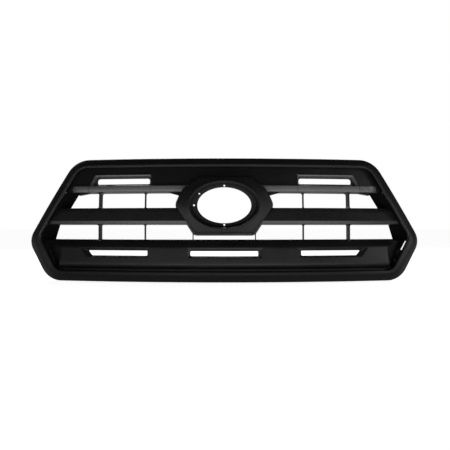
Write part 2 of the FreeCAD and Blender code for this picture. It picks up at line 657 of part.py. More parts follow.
def build_housing():
    outside = housing_envelope().common(crown(0))
    cavity = housing_envelope(-WALL, 10).common(crown(WALL)).cut(seat_loft(BOWL_WALL, HOUSING_FRONT_Y - 6, WALL))
    body = outside.cut(cavity).cut(seat_loft(0, HOUSING_FRONT_Y - 6, 0)).cut(oval_prism(SEAT_HOLE, -10, 60))
    hexagon = mirrored(HOUSING)
    flange = prism(inset(hexagon, -17)).cut(prism(inset(hexagon, 1.5)))
    flange = flange.common(shell(PLATE_BACK + GAP, PLATE_BACK + GAP + WALL, 56, 110))
    flange = flange.common(box(-200, 200, -60, 200, 56, 110))
    body = fused([body, flange] + seats(HOUSING_SCREWS, PLATE_BACK + GAP + WALL))
    cuts = [rod(SEAT_PIN_R, 0, -10, side * SEAT_PIN_Z, 20) for side in (-1, 1)]
    for x0, x1, z0, z1 in (HOOK_SLOT, HOOK_HOLE, HOOK_NOTCH):
        cuts.append(box(x0, x1, -2, 8, z0, z1))
    for side in (-1, 1):
        cuts.append(rod(SCREW_R + 0.05, side * HOUSING_FOOT_SCREW[0], HOUSING_FOOT_SCREW[1], -90, 20, (0, 0, 1)))
    return body.cut(Part.makeCompound(cuts)).cut(holes(HOUSING_SCREWS))


# ---- mounting rail, seal and retainers -----------------------------------------------------
RAIL_TOP = RAIL_Z + RAIL_THICK
RAIL_FRONT = PLATE_BACK + GAP


def build_rail():
    """The rail behind the upper panel, with two bolted tabs and two tabs for retainers."""
    span = box(-RAIL_HALF, RAIL_HALF, -60, 300, RAIL_Z, RAIL_LEG_TOP)
    leg = shell(RAIL_FRONT, RAIL_FRONT + RAIL_THICK, 90, 130).common(span)
    y = face_y(RAIL_Z) + RAIL_FRONT
    start = y + RAIL_THICK - 0.5
    table = swept([(start, RAIL_Z), (RAIL_REAR, RAIL_Z), (RAIL_REAR, RAIL_TOP), (start, RAIL_TOP)]).common(span)
    tabs, openings = [], []
    for (x, y_hole), radius in ((BOLT_TAB, BOLT_HOLE_R), (CLIP_TAB, CLIP_HOLE_R)):
        for side in (-1, 1):
            reach = box(side * x - TAB_HALF, side * x + TAB_HALF, bowed(x, RAIL_REAR) - 12, y_hole, RAIL_Z, RAIL_TOP)
            end = rod(TAB_HALF, side * x, y_hole, RAIL_Z, RAIL_THICK, (0, 0, 1))
            tabs += [reach, end]
            openings.append(rod(radius, side * x, y_hole, RAIL_Z - 5, 20, (0, 0, 1)))
    half = GUSSET_THICK / 2
    gussets = [box(x - half, x + half, 0, 300, RAIL_Z + 1, RAIL_LEG_TOP) for x in GUSSETS]
    slope = swept([(y + 3, RAIL_TOP - 1), (y + 26, RAIL_TOP - 1), (y + 8, 119), (y + 6.5, 119)])
    rail = joined([leg, table, slope.common(joined(gussets))] + tabs + seats(TOP_SCREWS, RAIL_FRONT + RAIL_THICK))
    return rail.cut(Part.makeCompound(openings)).cut(holes(TOP_SCREWS))


def build_seal():
    """The bonnet seal: a foot along the rail and a hollow-looking bulb above it."""
    rear = SEAL_FRONT + SEAL_WIDTH
    low, high = RAIL_TOP, RAIL_TOP + SEAL_HEIGHT
    section = [(SEAL_FRONT, low), (rear, low), (rear, low + 3), (rear + 1.5, low + 6), (rear + 1.5, high - 4),
               (rear - 2, high), (SEAL_FRONT + 2, high), (SEAL_FRONT - 1.5, high - 4), (SEAL_FRONT - 1.5, low + 6),
               (SEAL_FRONT, low + 3)]
    return swept(section).common(box(-SEAL_HALF, SEAL_HALF, -60, 300, 90, 140))


RETAINER_LOW = RAIL_Z - RETAINER_REACH


def build_retainer(x, y):
    """A push-in retainer: a flange on the tab and four legs that its pin spreads."""
    flange = rod(FLANGE_R, x, y, RAIL_TOP, FLANGE_THICK, (0, 0, 1))
    flange = flange.makeFillet(0.8, [e for e in flange.Edges if e.Closed and e.BoundBox.ZMin > RAIL_TOP + 1])
    shank = rod(CLIP_HOLE_R - 0.15, x, y, RETAINER_LOW, RAIL_TOP - RETAINER_LOW, (0, 0, 1))
    barb = Part.makeCone(CLIP_HOLE_R - 1.2, CLIP_HOLE_R + 1.1, 6, Vector(x, y, RETAINER_LOW))
    slots = [box(x - 12, x + 12, y - 0.6, y + 0.6, RETAINER_LOW - 1, RAIL_Z - 1),
             box(x - 0.6, x + 0.6, y - 12, y + 12, RETAINER_LOW - 1, RAIL_Z - 1)]
    bore = rod(PIN_R + PIN_CLEARANCE, x, y, RETAINER_LOW - 1, 40, (0, 0, 1))
    return joined([flange, shank, barb]).cut(joined(slots)).cut(bore)


def build_pin(x, y):
    """The retainer's centre pin, pushed home; it slides up to let the legs close."""
    seat = RAIL_TOP + FLANGE_THICK + 0.3
    head = rod(PIN_HEAD_R, x, y, seat, PIN_HEAD_THICK, (0, 0, 1))
    head = head.makeFillet(0.7, [e for e in head.Edges if e.Closed and e.BoundBox.ZMin > seat + 1])
    shank = rod(PIN_R, x, y, RETAINER_LOW + 2, seat - RETAINER_LOW - 2, (0, 0, 1))
    tip = Part.makeCone(0.8, PIN_R, 2, Vector(x, y, RETAINER_LOW))
    slot = box(x - 4, x + 4, y - 0.6, y + 0.6, seat + PIN_HEAD_THICK - 0.7, seat + 5)
    return joined([head, shank, tip]).cut(slot)


# ---- lower clips and side pads -------------------------------------------------------------
def build_spring_clips():
    """Sheet-steel clips pushed over the towers along the bottom."""
    line = CLIP_LEAF + [(y, -z) for y, z in reversed(CLIP_LEAF)]
    section = strip(line, CLIP_SHEET)
    clips = []
    for x in TOWER_X:
        for side in (-1, 1):
            x0, y0 = side * x - TOWER_WIDTH / 2 + 1, bowed(x, LOWER_SECTION[-1][0])
            points = [Vector(x0, y0 + y, TOWER_Z + z) for y, z in section]
            clips.append(Part.Face(Part.makePolygon(points + points[:1])).extrude(Vector(TOWER_WIDTH - 2, 0, 0)))
    return Part.makeCompound(clips)


def build_pad():
    """The right-hand anti-rattle pad round the side locator."""
    x, z = LOCATOR
    y = on_plate(x, z, PLATE_BACK) + COLLAR
    return rod(PAD_R, x, y, z, PAD_THICK).cut(rod(LOCATOR_NECK_R + 0.05, x, y - 1, z, PAD_THICK + 2))


# ---- fasteners -----------------------------------------------------------------------------
def build_surround_screws():
    grip = PLATE_BACK + SEAT_STAND - 10.5
    heads = screws(TOP_SCREWS, RAIL_FRONT + RAIL_THICK, grip + RAIL_THICK + GAP)
    return Part.makeCompound(heads + screws(BOTTOM_SCREWS + SIDE_SCREWS, PLATE_BACK, grip))


def build_foot_screws():
    made = []
    for x in RIB_XS:
        at = foot_screw_at(x)
        made.append(screw(*at, LOWER_FOOT_Z, 4.0, (0, 0, 1)))
        if abs(x) > CENTRE_RIB_X:
            made.append(screw(*at, UPPER_FOOT_Z + FOOT_THICK, 4.0, (0, 0, -1)))
        else:
            side = math.copysign(1, x)
            made.append(screw(side * HOUSING_FOOT_SCREW[0], HOUSING_FOOT_SCREW[1], HOUSING_FOOT_Z + FOOT_THICK, 4.0,
                              (0, 0, -1)))
    return Part.makeCompound(made)


# ---- the whole part ------------------------------------------------------------------------
def build_all():
    nodes = {
        "surround_frame": build_surround(),
        "upper_panel": build_upper_panel(),
        "lower_panel": build_lower_panel(),
        "emblem_housing": build_housing(),
        "top_mount_rail": build_rail(),
        "bonnet_seal": build_seal(),
        "surround_screws": build_surround_screws(),
        "strip_screws": Part.makeCompound(screws(STRIP_SCREWS, PLATE_BACK, 8.4)),
        "housing_screws": Part.makeCompound(screws(HOUSING_SCREWS, PLATE_BACK + GAP + WALL, 5.8)),
        "rib_foot_screws": build_foot_screws(),
        "lower_spring_clips": build_spring_clips(),
    }
    nodes["mid_bar_right"], nodes["mid_bar_left"] = build_mid_bars()
    end, inner = build_strip_pieces()
    pairs = {"side_cheek": build_cheek(), "strip_end": end, "strip_inner": inner, "vent_bezel": build_bezel(),
             "side_pad": build_pad()}
    for name, shape in pairs.items():
        nodes[name + "_right"] = shape
        nodes[name + "_left"] = mirror(shape)
    for side, word in ((1, "right"), (-1, "left")):
        for name, x in RIB_X.items():
            nodes["rib_" + name + "_" + word] = build_rib(side * x, name)
        nodes["rib_centre_" + word] = build_centre_rib(side * CENTRE_RIB_X)
        nodes["retainer_body_" + word] = build_retainer(side * CLIP_TAB[0], CLIP_TAB[1])
        nodes["retainer_pin_" + word] = build_pin(side * CLIP_TAB[0], CLIP_TAB[1])
    return nodes


os.makedirs("parts", exist_ok=True)
for node, shape in build_all().items():
    sound = "" if shape.isValid() else " NOT SOUND"
    print(f"{node}: {len(shape.Solids)} solids, {shape.Volume / 1000:.1f} cm3{sound}")
    shape.exportStep(f"parts/{node}.step")
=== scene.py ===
import math

import bmesh
import bpy
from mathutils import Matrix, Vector
from mathutils.geometry import delaunay_2d_cdt


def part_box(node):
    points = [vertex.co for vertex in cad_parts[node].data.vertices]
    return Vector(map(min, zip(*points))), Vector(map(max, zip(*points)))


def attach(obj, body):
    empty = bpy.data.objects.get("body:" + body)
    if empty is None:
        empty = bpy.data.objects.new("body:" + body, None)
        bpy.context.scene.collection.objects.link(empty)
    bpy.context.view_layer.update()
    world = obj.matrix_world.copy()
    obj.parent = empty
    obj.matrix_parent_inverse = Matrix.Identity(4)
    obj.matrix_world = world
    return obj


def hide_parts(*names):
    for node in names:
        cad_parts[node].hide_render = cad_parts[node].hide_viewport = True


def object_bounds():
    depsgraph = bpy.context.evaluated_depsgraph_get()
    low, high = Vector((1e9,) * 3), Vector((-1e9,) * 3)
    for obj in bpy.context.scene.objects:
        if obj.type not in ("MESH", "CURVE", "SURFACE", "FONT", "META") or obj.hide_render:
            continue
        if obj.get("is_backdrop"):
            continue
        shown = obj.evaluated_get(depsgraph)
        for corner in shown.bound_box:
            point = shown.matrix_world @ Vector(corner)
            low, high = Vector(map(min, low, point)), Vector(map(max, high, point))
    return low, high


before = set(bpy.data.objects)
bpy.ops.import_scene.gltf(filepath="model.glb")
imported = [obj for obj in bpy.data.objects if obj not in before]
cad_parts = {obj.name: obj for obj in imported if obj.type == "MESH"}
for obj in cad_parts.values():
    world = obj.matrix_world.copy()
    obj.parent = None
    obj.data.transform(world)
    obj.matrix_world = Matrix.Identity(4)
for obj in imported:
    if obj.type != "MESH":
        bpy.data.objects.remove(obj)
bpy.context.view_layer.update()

# ---- surround ------------------------------------------------------------------------------
# The six-sided outer moulding that frames the whole grille. It is injection-moulded ABS with a
# fine satin grain, bowed towards the lamps, and its skirts turn back round the insert. Fifteen
# screws from behind hold the insert to posts moulded on its back.
MM = 0.001
BOW = 1300.0             # plan radius of the face
LEAN = 700.0             # side-view radius of the face
NOSE_Y = -30.0
NOSE_Z = -95.0
AXIS_Y = NOSE_Y + BOW
OUTER = [(416.5, 128.5, 70.0), (553.0, -97.1, 47.5), (494.0, -208.5, 60.0)]
INNER = [(402.5, 104.5, 35.0), (517.0, -86.2, 25.0), (468.6, -178.0, 28.0)]
# The rim's outer edge and its underside: distance in from the outline, and depth behind the face.
RIM_BEVEL = [(0.0, 46.0), (0.0, 28.0), (0.0, 12.0), (0.5, 9.6), (2.0, 7.6), (13.8, 0.9), (15.4, 0.2),
             (17.0, 0.0)]
RIM_UNDER = [(19.0, 5.5), (5.5, 12.0), (3.4, 16.0), (3.4, 46.0)]
RIM_LIP = 5.0            # roll of the inner edge
INNER_SKIRT = 13.0
RIM_SWELL = 0.9          # how far the face stands proud between its edges
POST_R = 5.0
POST_DEPTHS = (6.5, 14.0)
PILOT_R = 2.1


def bowed(x, y):
    """Depth at x of a line that lies at depth y on the centre plane."""
    return AXIS_Y - math.sqrt((AXIS_Y - y) ** 2 - x * x)


def face_y(z, back=0.0):
    """Depth on the centre plane of the layer that lies a distance behind the face."""
    return NOSE_Y + LEAN - math.sqrt((LEAN - back) ** 2 - (z - NOSE_Z) ** 2)


def behind(x, z, back):
    """A point a distance behind the bowed, leaning face."""
    return (x, bowed(x, face_y(z, back)), z)


def mirrored(corners):
    """A whole outline from the corners of its right half, clockwise from the top."""
    return corners + [(-x, z, r) for x, z, r in reversed(corners)]


def flipped(corners):
    """The mirror image of an outline, in the same turning sense."""
    return [(-x, z, r) for x, z, r in reversed(corners)]


def corner_turn(corners, i):
    """A corner, the unit directions to its neighbours, and half the angle between them."""
    here = Vector(corners[i][:2])
    before = (Vector(corners[i - 1][:2]) - here).normalized()
    after = (Vector(corners[(i + 1) % len(corners)][:2]) - here).normalized()
    return here, before, after, before.angle(after) / 2


def inset(corners, distance):
    """A convex outline moved inwards by a distance."""
    moved = []
    for i, (x, z, r) in enumerate(corners):
        here, before, after, half = corner_turn(corners, i)
        there = here + (before + after).normalized() * (distance / math.sin(half))
        moved.append((there.x, there.y, max(r - distance, 0.4)))
    return moved


def run_steps(corners, pitch):
    """Steps along each straight run of an outline."""
    ends = corners[1:] + corners[:1]
    return [max(1, round(math.dist(a[:2], b[:2]) / pitch)) for a, b in zip(corners, ends)]


def outline(corners, steps, arc=8):
    """Points round an outline of straight runs joined by tangent arcs."""
    arcs = []
    for i, corner in enumerate(corners):
        here, before, after, half = corner_turn(corners, i)
        r = corner[2]
        centre = here + (before + after).normalized() * (r / math.sin(half))
        reach = r / math.tan(half)
        arcs.append((here + before * reach - centre, centre, here + after * reach - centre))
    points = []
    for i, (a, centre, b) in enumerate(arcs):
        angle = a.angle(b)
        for k in range(arc + 1):
            t = k / arc
            turned = (a * math.sin((1 - t) * angle) + b * math.sin(t * angle)) / math.sin(angle)
            points.append(centre + turned)
        stop = centre + b
        start = arcs[(i + 1) % len(arcs)][1] + arcs[(i + 1) % len(arcs)][0]
        points += [stop.lerp(start, k / steps[i]) for k in range(1, steps[i])]
    return points


class Skin:
    """Points in millimetres and faces of a mesh that is being put together."""

    def __init__(self):
        self.points = []
        self.faces = []

    def ring(self, points):
        start = len(self.points)
        self.points += [tuple(p) for p in points]
        return list(range(start, len(self.points)))

    def bridge(self, a, b, closed=True):
        count = len(a)
        for k in range(count if closed else count - 1):
            n = (k + 1) % count
            self.faces.append((a[k], a[n], b[n], b[k]))

    def loft(self, rings, closed=True, round_again=False, capped=False):
        made = [self.ring(r) for r in rings]
        for a, b in zip(made, made[1:]):
            self.bridge(a, b, closed)
        if round_again:
            self.bridge(made[-1], made[0], closed)
        if capped:
            self.faces += [tuple(made[0]), tuple(reversed(made[-1]))]
        return made


def finish_piece(name, skin, nodes, material, body="grille", sharp=32.0):
    """Turns a skin into a smooth-shaded piece that stands for CAD nodes and rides on a body."""
    mesh = bpy.data.meshes.new(name)
    mesh.from_pydata([tuple(c * MM for c in p) for p in skin.points], [], skin.faces)
    work = bmesh.new()
    work.from_mesh(mesh)
    bmesh.ops.remove_doubles(work, verts=work.verts, dist=0.00002)
    bmesh.ops.dissolve_degenerate(work, edges=work.edges, dist=0.00001)
    bmesh.ops.recalc_face_normals(work, faces=work.faces)
    work.to_mesh(mesh)
    work.free()
    mesh.shade_smooth()
    mesh.set_sharp_from_angle(angle=math.radians(sharp))
    mesh.materials.append(material)
    piece = bpy.data.objects.new(name, mesh)
    bpy.context.scene.collection.objects.link(piece)
    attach(piece, body)
    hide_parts(*nodes)
    return piece


def node_group(name, inputs, outputs):
    """A new shader group with float inputs and their usual values, and float outputs."""
    tree = bpy.data.node_groups.new(name, "ShaderNodeTree")
    for label, value in inputs.items():
        tree.interface.new_socket(label, in_out="INPUT", socket_type="NodeSocketFloat").default_value = value
    for label in outputs:
        tree.interface.new_socket(label, in_out="OUTPUT", socket_type="NodeSocketFloat")
    return tree, tree.nodes.new("NodeGroupInput"), tree.nodes.new("NodeGroupOutput")


def texture(tree, kind, scale, **settings):
    """A three-dimensional texture in the piece's own coordinates, with a fixed or a linked scale."""
    node = tree.nodes.new(kind)
    where = tree.nodes.new("ShaderNodeTexCoord")
    tree.links.new(where.outputs["Object"], node.inputs["Vector"])
    if isinstance(scale, (int, float)):
        node.inputs["Scale"].default_value = scale
    else:
        tree.links.new(scale, node.inputs["Scale"])
    for label, value in settings.items():
        node.inputs[label].default_value = value
    return node


def remap(tree, source, low, high, to_low, to_high):
    """Spreads a range of a value over another range; the ends may be numbers or sockets."""
    node = tree.nodes.new("ShaderNodeMapRange")
    tree.links.new(source, node.inputs["Value"])
    for label, value in (("From Min", low), ("From Max", high), ("To Min", to_low), ("To Max", to_high)):
        if isinstance(value, (int, float)):
            node.inputs[label].default_value = value
        else:
            tree.links.new(value, node.inputs[label])
    return node.outputs["Result"]


def combine(tree, kind, a, b):
    """Two values put together by one arithmetic step."""
    node = tree.nodes.new("ShaderNodeMath")
    node.operation = kind
    for socket, value in zip(node.inputs, (a, b)):
        if isinstance(value, (int, float)):
            socket.default_value = value
        else:
            tree.links.new(value, socket)
    return node.outputs[0]


def make_moulded_grain():
    """The texture cut into a mould: fine pits, speckle in tone, and a slow drift in gloss."""
    tree, given, result = node_group(
        "moulded_grain",
        {"Pit scale": 900.0, "Speckle": 0.5, "Gloss low": 0.36, "Gloss high": 0.5},
        ("Tone", "Roughness", "Height"))
    pits = texture(tree, "ShaderNodeTexNoise", given.outputs["Pit scale"], Detail=4.0, Roughness=0.6)
    cells = texture(tree, "ShaderNodeTexVoronoi", combine(tree, "MULTIPLY", given.outputs["Pit scale"], 0.7))
    speckle = texture(tree, "ShaderNodeTexNoise", combine(tree, "MULTIPLY", given.outputs["Pit scale"], 0.42),
                      Detail=2.0, Roughness=0.7)
    drift = texture(tree, "ShaderNodeTexNoise", 9.0, Detail=3.0, Roughness=0.55)
    flecks = remap(tree, speckle.outputs["Fac"], 0.32, 0.68, 0.0, 1.0)
    slow = remap(tree, drift.outputs["Fac"], 0.3, 0.7, 0.0, 1.0)
    flecked = combine(tree, "MULTIPLY", flecks, given.outputs["Speckle"])
    even = combine(tree, "MULTIPLY", slow, combine(tree, "SUBTRACT", 1.0, given.outputs["Speckle"]))
    tree.links.new(combine(tree, "ADD", flecked, even), result.inputs["Tone"])
    mixed = combine(tree, "ADD", combine(tree, "MULTIPLY", slow, 0.6), combine(tree, "MULTIPLY", flecks, 0.4))
    rough = remap(tree, mixed, 0.0, 1.0, given.outputs["Gloss low"], given.outputs["Gloss high"])
    tree.links.new(rough, result.inputs["Roughness"])
    walls = combine(tree, "MULTIPLY", cells.outputs["Distance"], 0.6)
    tree.links.new(combine(tree, "ADD", pits.outputs["Fac"], walls), result.inputs["Height"])
    return tree


def make_handling_haze():
    """Faint rubbed streaks and settled dust that dull a new moulding here and there."""
    tree, given, result = node_group("handling_haze", {"Amount": 0.4, "Streak scale": 40.0}, ("Haze",))
    where = tree.nodes.new("ShaderNodeTexCoord")
    stretch = tree.nodes.new("ShaderNodeMapping")
    stretch.inputs["Scale"].default_value = (0.25, 1.0, 2.2)
    tree.links.new(where.outputs["Object"], stretch.inputs["Vector"])
    streaks = tree.nodes.new("ShaderNodeTexNoise")
    tree.links.new(stretch.outputs["Vector"], streaks.inputs["Vector"])
    tree.links.new(given.outputs["Streak scale"], streaks.inputs["Scale"])
    streaks.inputs["Detail"].default_value = 6.0
    clouds = texture(tree, "ShaderNodeTexNoise", 6.0, Detail=2.0)
    thin = remap(tree, streaks.outputs["Fac"], 0.45, 0.75, 0.0, 1.0)
    patches = remap(tree, clouds.outputs["Fac"], 0.4, 0.65, 0.15, 1.0)
    haze = combine(tree, "MULTIPLY", combine(tree, "MULTIPLY", thin, patches), given.outputs["Amount"])
    tree.links.new(haze, result.inputs["Haze"])
    return tree


moulded_grain = make_moulded_grain()
handling_haze = make_handling_haze()


def use_group(tree, group, **values):
    """A group placed in a material with its own values."""
    node = tree.nodes.new("ShaderNodeGroup")
    node.node_tree = group
    for label, value in values.items():
        node.inputs[label.replace("_", " ")].default_value = value
    return node


def tinted(tree, factor, dark, light):
    """A colour between two colours, by a factor."""
    ramp = tree.nodes.new("ShaderNodeValToRGB")
    ramp.color_ramp.elements[0].color = (*dark, 1.0)
    ramp.color_ramp.elements[1].color = (*light, 1.0)
    tree.links.new(factor, ramp.inputs["Fac"])
    return ramp.outputs["Color"]


def new_material(name):
    material = bpy.data.materials.new(name)
    material.use_nodes = True
    return material, material.node_tree, material.node_tree.nodes["Principled BSDF"]


def bumped(tree, shader, height, distance, strength):
    bump = tree.nodes.new("ShaderNodeBump")
    bump.inputs["Distance"].default_value = distance
    bump.inputs["Strength"].default_value = strength
    tree.links.new(height, bump.inputs["Height"])
    tree.links.new(bump.outputs["Normal"], shader.inputs["Normal"])


def moulded_plastic(name, dark, light, gloss, pit_scale, pit_depth, speckle, haze, sheen=0.5):
    """A grained plastic: two tones, a range of gloss, pits, a little haze, and its sheen."""
    material, tree, shader = new_material(name)
    grain = use_group(tree, moulded_grain, Pit_scale=pit_scale, Speckle=speckle,
                      Gloss_low=gloss[0], Gloss_high=gloss[1])
    dust = use_group(tree, handling_haze, Amount=haze)
    paler = combine(tree, "MULTIPLY", dust.outputs["Haze"], 0.6)
    duller = combine(tree, "MULTIPLY", dust.outputs["Haze"], 0.12)
    tone = combine(tree, "ADD", grain.outputs["Tone"], paler)
    rough = combine(tree, "ADD", grain.outputs["Roughness"], duller)
    tree.links.new(tinted(tree, tone, dark, light), shader.inputs["Base Color"])
    tree.links.new(rough, shader.inputs["Roughness"])
    shader.inputs["IOR"].default_value = 1.5
    shader.inputs["Specular IOR Level"].default_value = sheen
    bumped(tree, shader, grain.outputs["Height"], pit_depth * MM, 0.6)
    return material


satin_black = moulded_plastic("satin_black_abs", (0.0025, 0.0025, 0.0027), (0.014, 0.014, 0.0147),
                              (0.28, 0.58), 650.0, 0.05, 0.72, 0.4, sheen=0.36)

outer_steps = run_steps(mirrored(OUTER), 12.0)


def rim_ring(corners, distance, back):
    """A ring round the surround, at a distance inside an outline and behind the face."""
    points = outline(inset(mirrored(corners), distance), outer_steps)
    return [behind(p.x, p.y, back) for p in points]


def between(a, b, share, forward):
    """A ring between two rings, brought forward a little."""
    return [(x0 + (x1 - x0) * share, y0 + (y1 - y0) * share - forward, z0 + (z1 - z0) * share)
            for (x0, y0, z0), (x1, y1, z1) in zip(a, b)]


def quarter(count):
    """Sine and cosine pairs of a quarter turn."""
    return [(math.sin(math.pi / 2 * k / count), math.cos(math.pi / 2 * k / count)) for k in range(count + 1)]


def turned_rings(x, z, profile, sides=20):
    """Rings of a turned shape whose axis points rearwards: profile is (radius, depth) pairs."""
    rings = []
    for r, y in profile:
        turns = [2 * math.pi * k / sides for k in range(sides)]
        rings.append([(x + r * math.cos(t), y, z + r * math.sin(t)) for t in turns])
    return rings


surround = Skin()
rings = [rim_ring(OUTER, distance, back) for distance, back in RIM_BEVEL]
face_from, face_to = rings[-1], rim_ring(INNER, -RIM_LIP, 0.0)
rings += [between(face_from, face_to, share, RIM_SWELL * math.sin(math.pi * share))
          for share in (0.25, 0.5, 0.75)]
rings += [rim_ring(INNER, -RIM_LIP * (1 - s), RIM_LIP * (1 - c)) for s, c in quarter(5)]
rings += [rim_ring(INNER, 0.0, INNER_SKIRT), rim_ring(INNER, -2.6, INNER_SKIRT), rim_ring(INNER, -2.8, 7.0)]
rings += [rim_ring(OUTER, distance, back) for distance, back in RIM_UNDER]
surround.loft(rings, round_again=True)
TOP_POSTS = [(x, 116.0) for x in (-385.0, -230.0, -75.0, 75.0, 230.0, 385.0)]
LOW_POSTS = [(x, -193.0) for x in (-440.0, -225.0, 0.0, 225.0, 440.0)]
SIDE_POSTS = [(side * x, z) for side in (-1, 1) for x, z in ((468.5, 17.0), (524.5, -78.0))]
for x, z in TOP_POSTS + LOW_POSTS + SIDE_POSTS:
    near, far = (behind(x, z, back)[1] for back in POST_DEPTHS)
    outside = [(POST_R, near), (POST_R, far - 0.5), (POST_R - 0.5, far)]
    surround.loft(turned_rings(x, z, outside + [(PILOT_R, far), (PILOT_R, near + 4)]), capped=True)
finish_piece("surround_moulding", surround, ["surround_frame"], satin_black)

# ---- upper panel ---------------------------------------------------------------------------
# The plate of the insert above the air cells, with the shelf that roofs them. It is the same
# grained ABS, 3 mm thick, screwed to the surround's posts together with the mounting rail.
# Painted shade: the upper panel is the same ABS as the surround but given a much darker tone, standing in for
# the up-facing plate that the low light leaves dark.
panel_painted_shade = moulded_plastic("panel_abs_painted_shade", (0.002, 0.002, 0.0022), (0.007, 0.007, 0.0074), (0.36, 0.5),
                              700.0, 0.05, 0.6, 0.3)


def dress(node, material):
    """Gives a CAD node whose shape stays its finish."""
    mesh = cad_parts[node].data
    mesh.materials.clear()
    mesh.materials.append(material)


dress("upper_panel", panel_painted_shade)

# ---- lower panel ---------------------------------------------------------------------------
# The deep bar below the air cells: one moulding with a shelf on top, three vents that sit in
# shallow recesses, a rolled lower edge, and ends that fold back behind the surround.
LOWER_PROFILE = [(4.0, -95.4), (-14.0, -113.4), (-18.0, -160.0), (-15.5, -166.0), (-8.0, -170.0),
                 (-5.0, -201.0)]
CREASE = [(448.0, -97.5), (458.0, -166.0)]
FACET_BACK = 34.0
SHELF_REAR = (46.0, -99.0)
SHELF_HALF = 528.0
SHELF_Z = -97.5
PANEL_FOOT = -196.0
PANEL_SKIN = 2.6
PLATE = 3.0
LOWER_VENT = [(-380.0, -120.5, 4.0), (-206.5, -120.5, 4.0), (-206.5, -139.0, 5.0), (-365.0, -139.0, 9.0)]
LOWER_RECESS = [(-399.0, -114.6, 1.5), (-203.5, -114.6, 1.5), (-203.5, -142.2, 3.0), (-379.0, -142.2, 8.0)]
CENTRE_VENT = [(-94.0, -121.5, 5.0), (94.0, -121.5, 5.0), (94.0, -140.0, 6.0), (-94.0, -140.0, 6.0)]
CENTRE_RECESS = [(-99.0, -114.6, 1.5), (103.0, -114.6, 1.5), (103.0, -143.2, 3.0), (-99.0, -143.2, 3.0)]
RECESS_DEPTH = 7.0


def rim_inner_x(z):
    """Half width of the surround's opening along its lower sides."""
    (x0, z0, _), (x1, z1, _) = INNER[1], INNER[2]
    return x0 + (x1 - x0) * (z - z0) / (z1 - z0)


def crease_x(z):
    """Half width at which the lower panel's ends start to fold back."""
    (x0, z0), (x1, z1) = CREASE
    return x0 + (x1 - x0) * min(1.0, max(0.0, (z - z0) / (z1 - z0)))


def profile_depth(z):
    """Depth of the lower panel's front on the centre plane, with its folds eased."""
    def straight(height):
        for (y0, z0), (y1, z1) in zip(LOWER_PROFILE, LOWER_PROFILE[1:]):
            if height >= z1:
                return y0 + (y1 - y0) * (height - z0) / (z1 - z0)
        return LOWER_PROFILE[-1][0]
    return sum(straight(z + step) for step in (-2.4, -1.2, 0.0, 1.2, 2.4)) / 5


def lower_front(x, z):
    """A point on the lower panel's front, whose ends fold back beyond the crease."""
    half, crease = abs(x), crease_x(z)
    if half <= crease:
        return (x, bowed(x, profile_depth(z)), z)
    stop = rim_inner_x(z) - 8.0
    front = bowed(crease, profile_depth(z))
    rear = behind(stop, z, FACET_BACK)[1]
    y = front + (rear - front) * min(1.0, (half - crease) / (stop - crease))
    if z < -166.0:
        shut = min(1.0, (-166.0 - z) / 5.0)
        y += (behind(half, z, 17.0)[1] - y) * shut
    return (x, y, z)


def inside(point, loop):
    """True where a point lies inside a closed loop."""
    crossings = 0
    for a, b in zip(loop, loop[1:] + loop[:1]):
        if (a.y > point.y) != (b.y > point.y):
            crossings += point.x < a.x + (point.y - a.y) * (b.x - a.x) / (b.y - a.y)
    return crossings % 2 == 1


def patch(skin, rim, openings, columns_at, zs, place):
    """A skin over the region inside a rim and outside openings, on a grid whose rows are kept."""
    points, edges = [], []
    for loop in [rim] + openings:
        start = len(points)
        points += loop
        edges += [(start + k, start + (k + 1) % len(loop)) for k in range(len(loop))]
    clear = 2.2
    borders = [p for loop in [rim] + openings for p in loop]
    for z in zs:
        last = None
        for x in columns_at(z):
            here = Vector((x, z))
            free = inside(here, rim) and not any(inside(here, loop) for loop in openings)
            if not free or any((here - p).length < clear for p in borders):
                last = None
                continue
            points.append(here)
            if last is not None:
                edges.append((last, len(points) - 1))
            last = len(points) - 1
    flat, _, tiles, _, _, _ = delaunay_2d_cdt(points, edges, [], 1, 1e-5)
    start = len(skin.points)
    skin.points += [place(p.x, p.y) for p in flat]
    for tile in tiles:
        middle = sum((flat[k] for k in tile), Vector((0, 0))) / len(tile)
        if inside(middle, rim) and not any(inside(middle, loop) for loop in openings):
            skin.faces.append(tuple(start + k for k in tile))


def spaced(low, high, pitch):
    count = max(1, round((high - low) / pitch))
    return [low + (high - low) * k / count for k in range(count + 1)]


lower = Skin()
GRID = 9.0
right_end = [(531.0, -103.0), (527.0, -112.0), (521.0, -124.0), (514.0, -136.0), (507.0, -149.0),
             (499.0, -162.0), (490.0, -175.0), (481.0, -186.0)]
rim = [Vector((x, SHELF_Z)) for x in spaced(-SHELF_HALF, SHELF_HALF, GRID)]
rim += [Vector(p) for p in right_end]
rim += [Vector((x, PANEL_FOOT)) for x in reversed(spaced(-468.0, 468.0, GRID))]
rim += [Vector((-x, z)) for x, z in reversed(right_end)]
slit_top, slit_foot = rim_inner_x(SHELF_Z), rim_inner_x(-124.0)
slit = outline([(slit_top + 0.5, -99.0, 1.0), (slit_top + 9.0, -99.0, 1.0),
                (slit_foot + 9.0, -124.0, 1.0), (slit_foot + 0.5, -124.0, 1.0)], [2, 5, 2, 5], 3)
vents = []
for recess, vent in ((LOWER_RECESS, LOWER_VENT), (flipped(LOWER_RECESS), flipped(LOWER_VENT)),
                     (CENTRE_RECESS, CENTRE_VENT)):
    steps = run_steps(recess, 7.0)
    vents.append((outline(recess, steps, 5), outline(inset(recess, 0.6), steps, 5),
                  outline(inset(vent, -1.9), steps, 5), outline(inset(vent, -1.1), steps, 5),
                  outline(vent, steps, 5)))
folds = (-99.6, -101.5, -104.5, -107.5, -110.5, -111.6, -113.4, -115.2, -117.0, -157.2, -158.8, -160.6,
         -162.6, -164.2, -166.0, -168.0, -170.0, -172.0, -175.0)
rows = sorted(set(folds) | {-122.0, -129.0, -136.0, -143.0, -150.0, -180.0, -187.0})


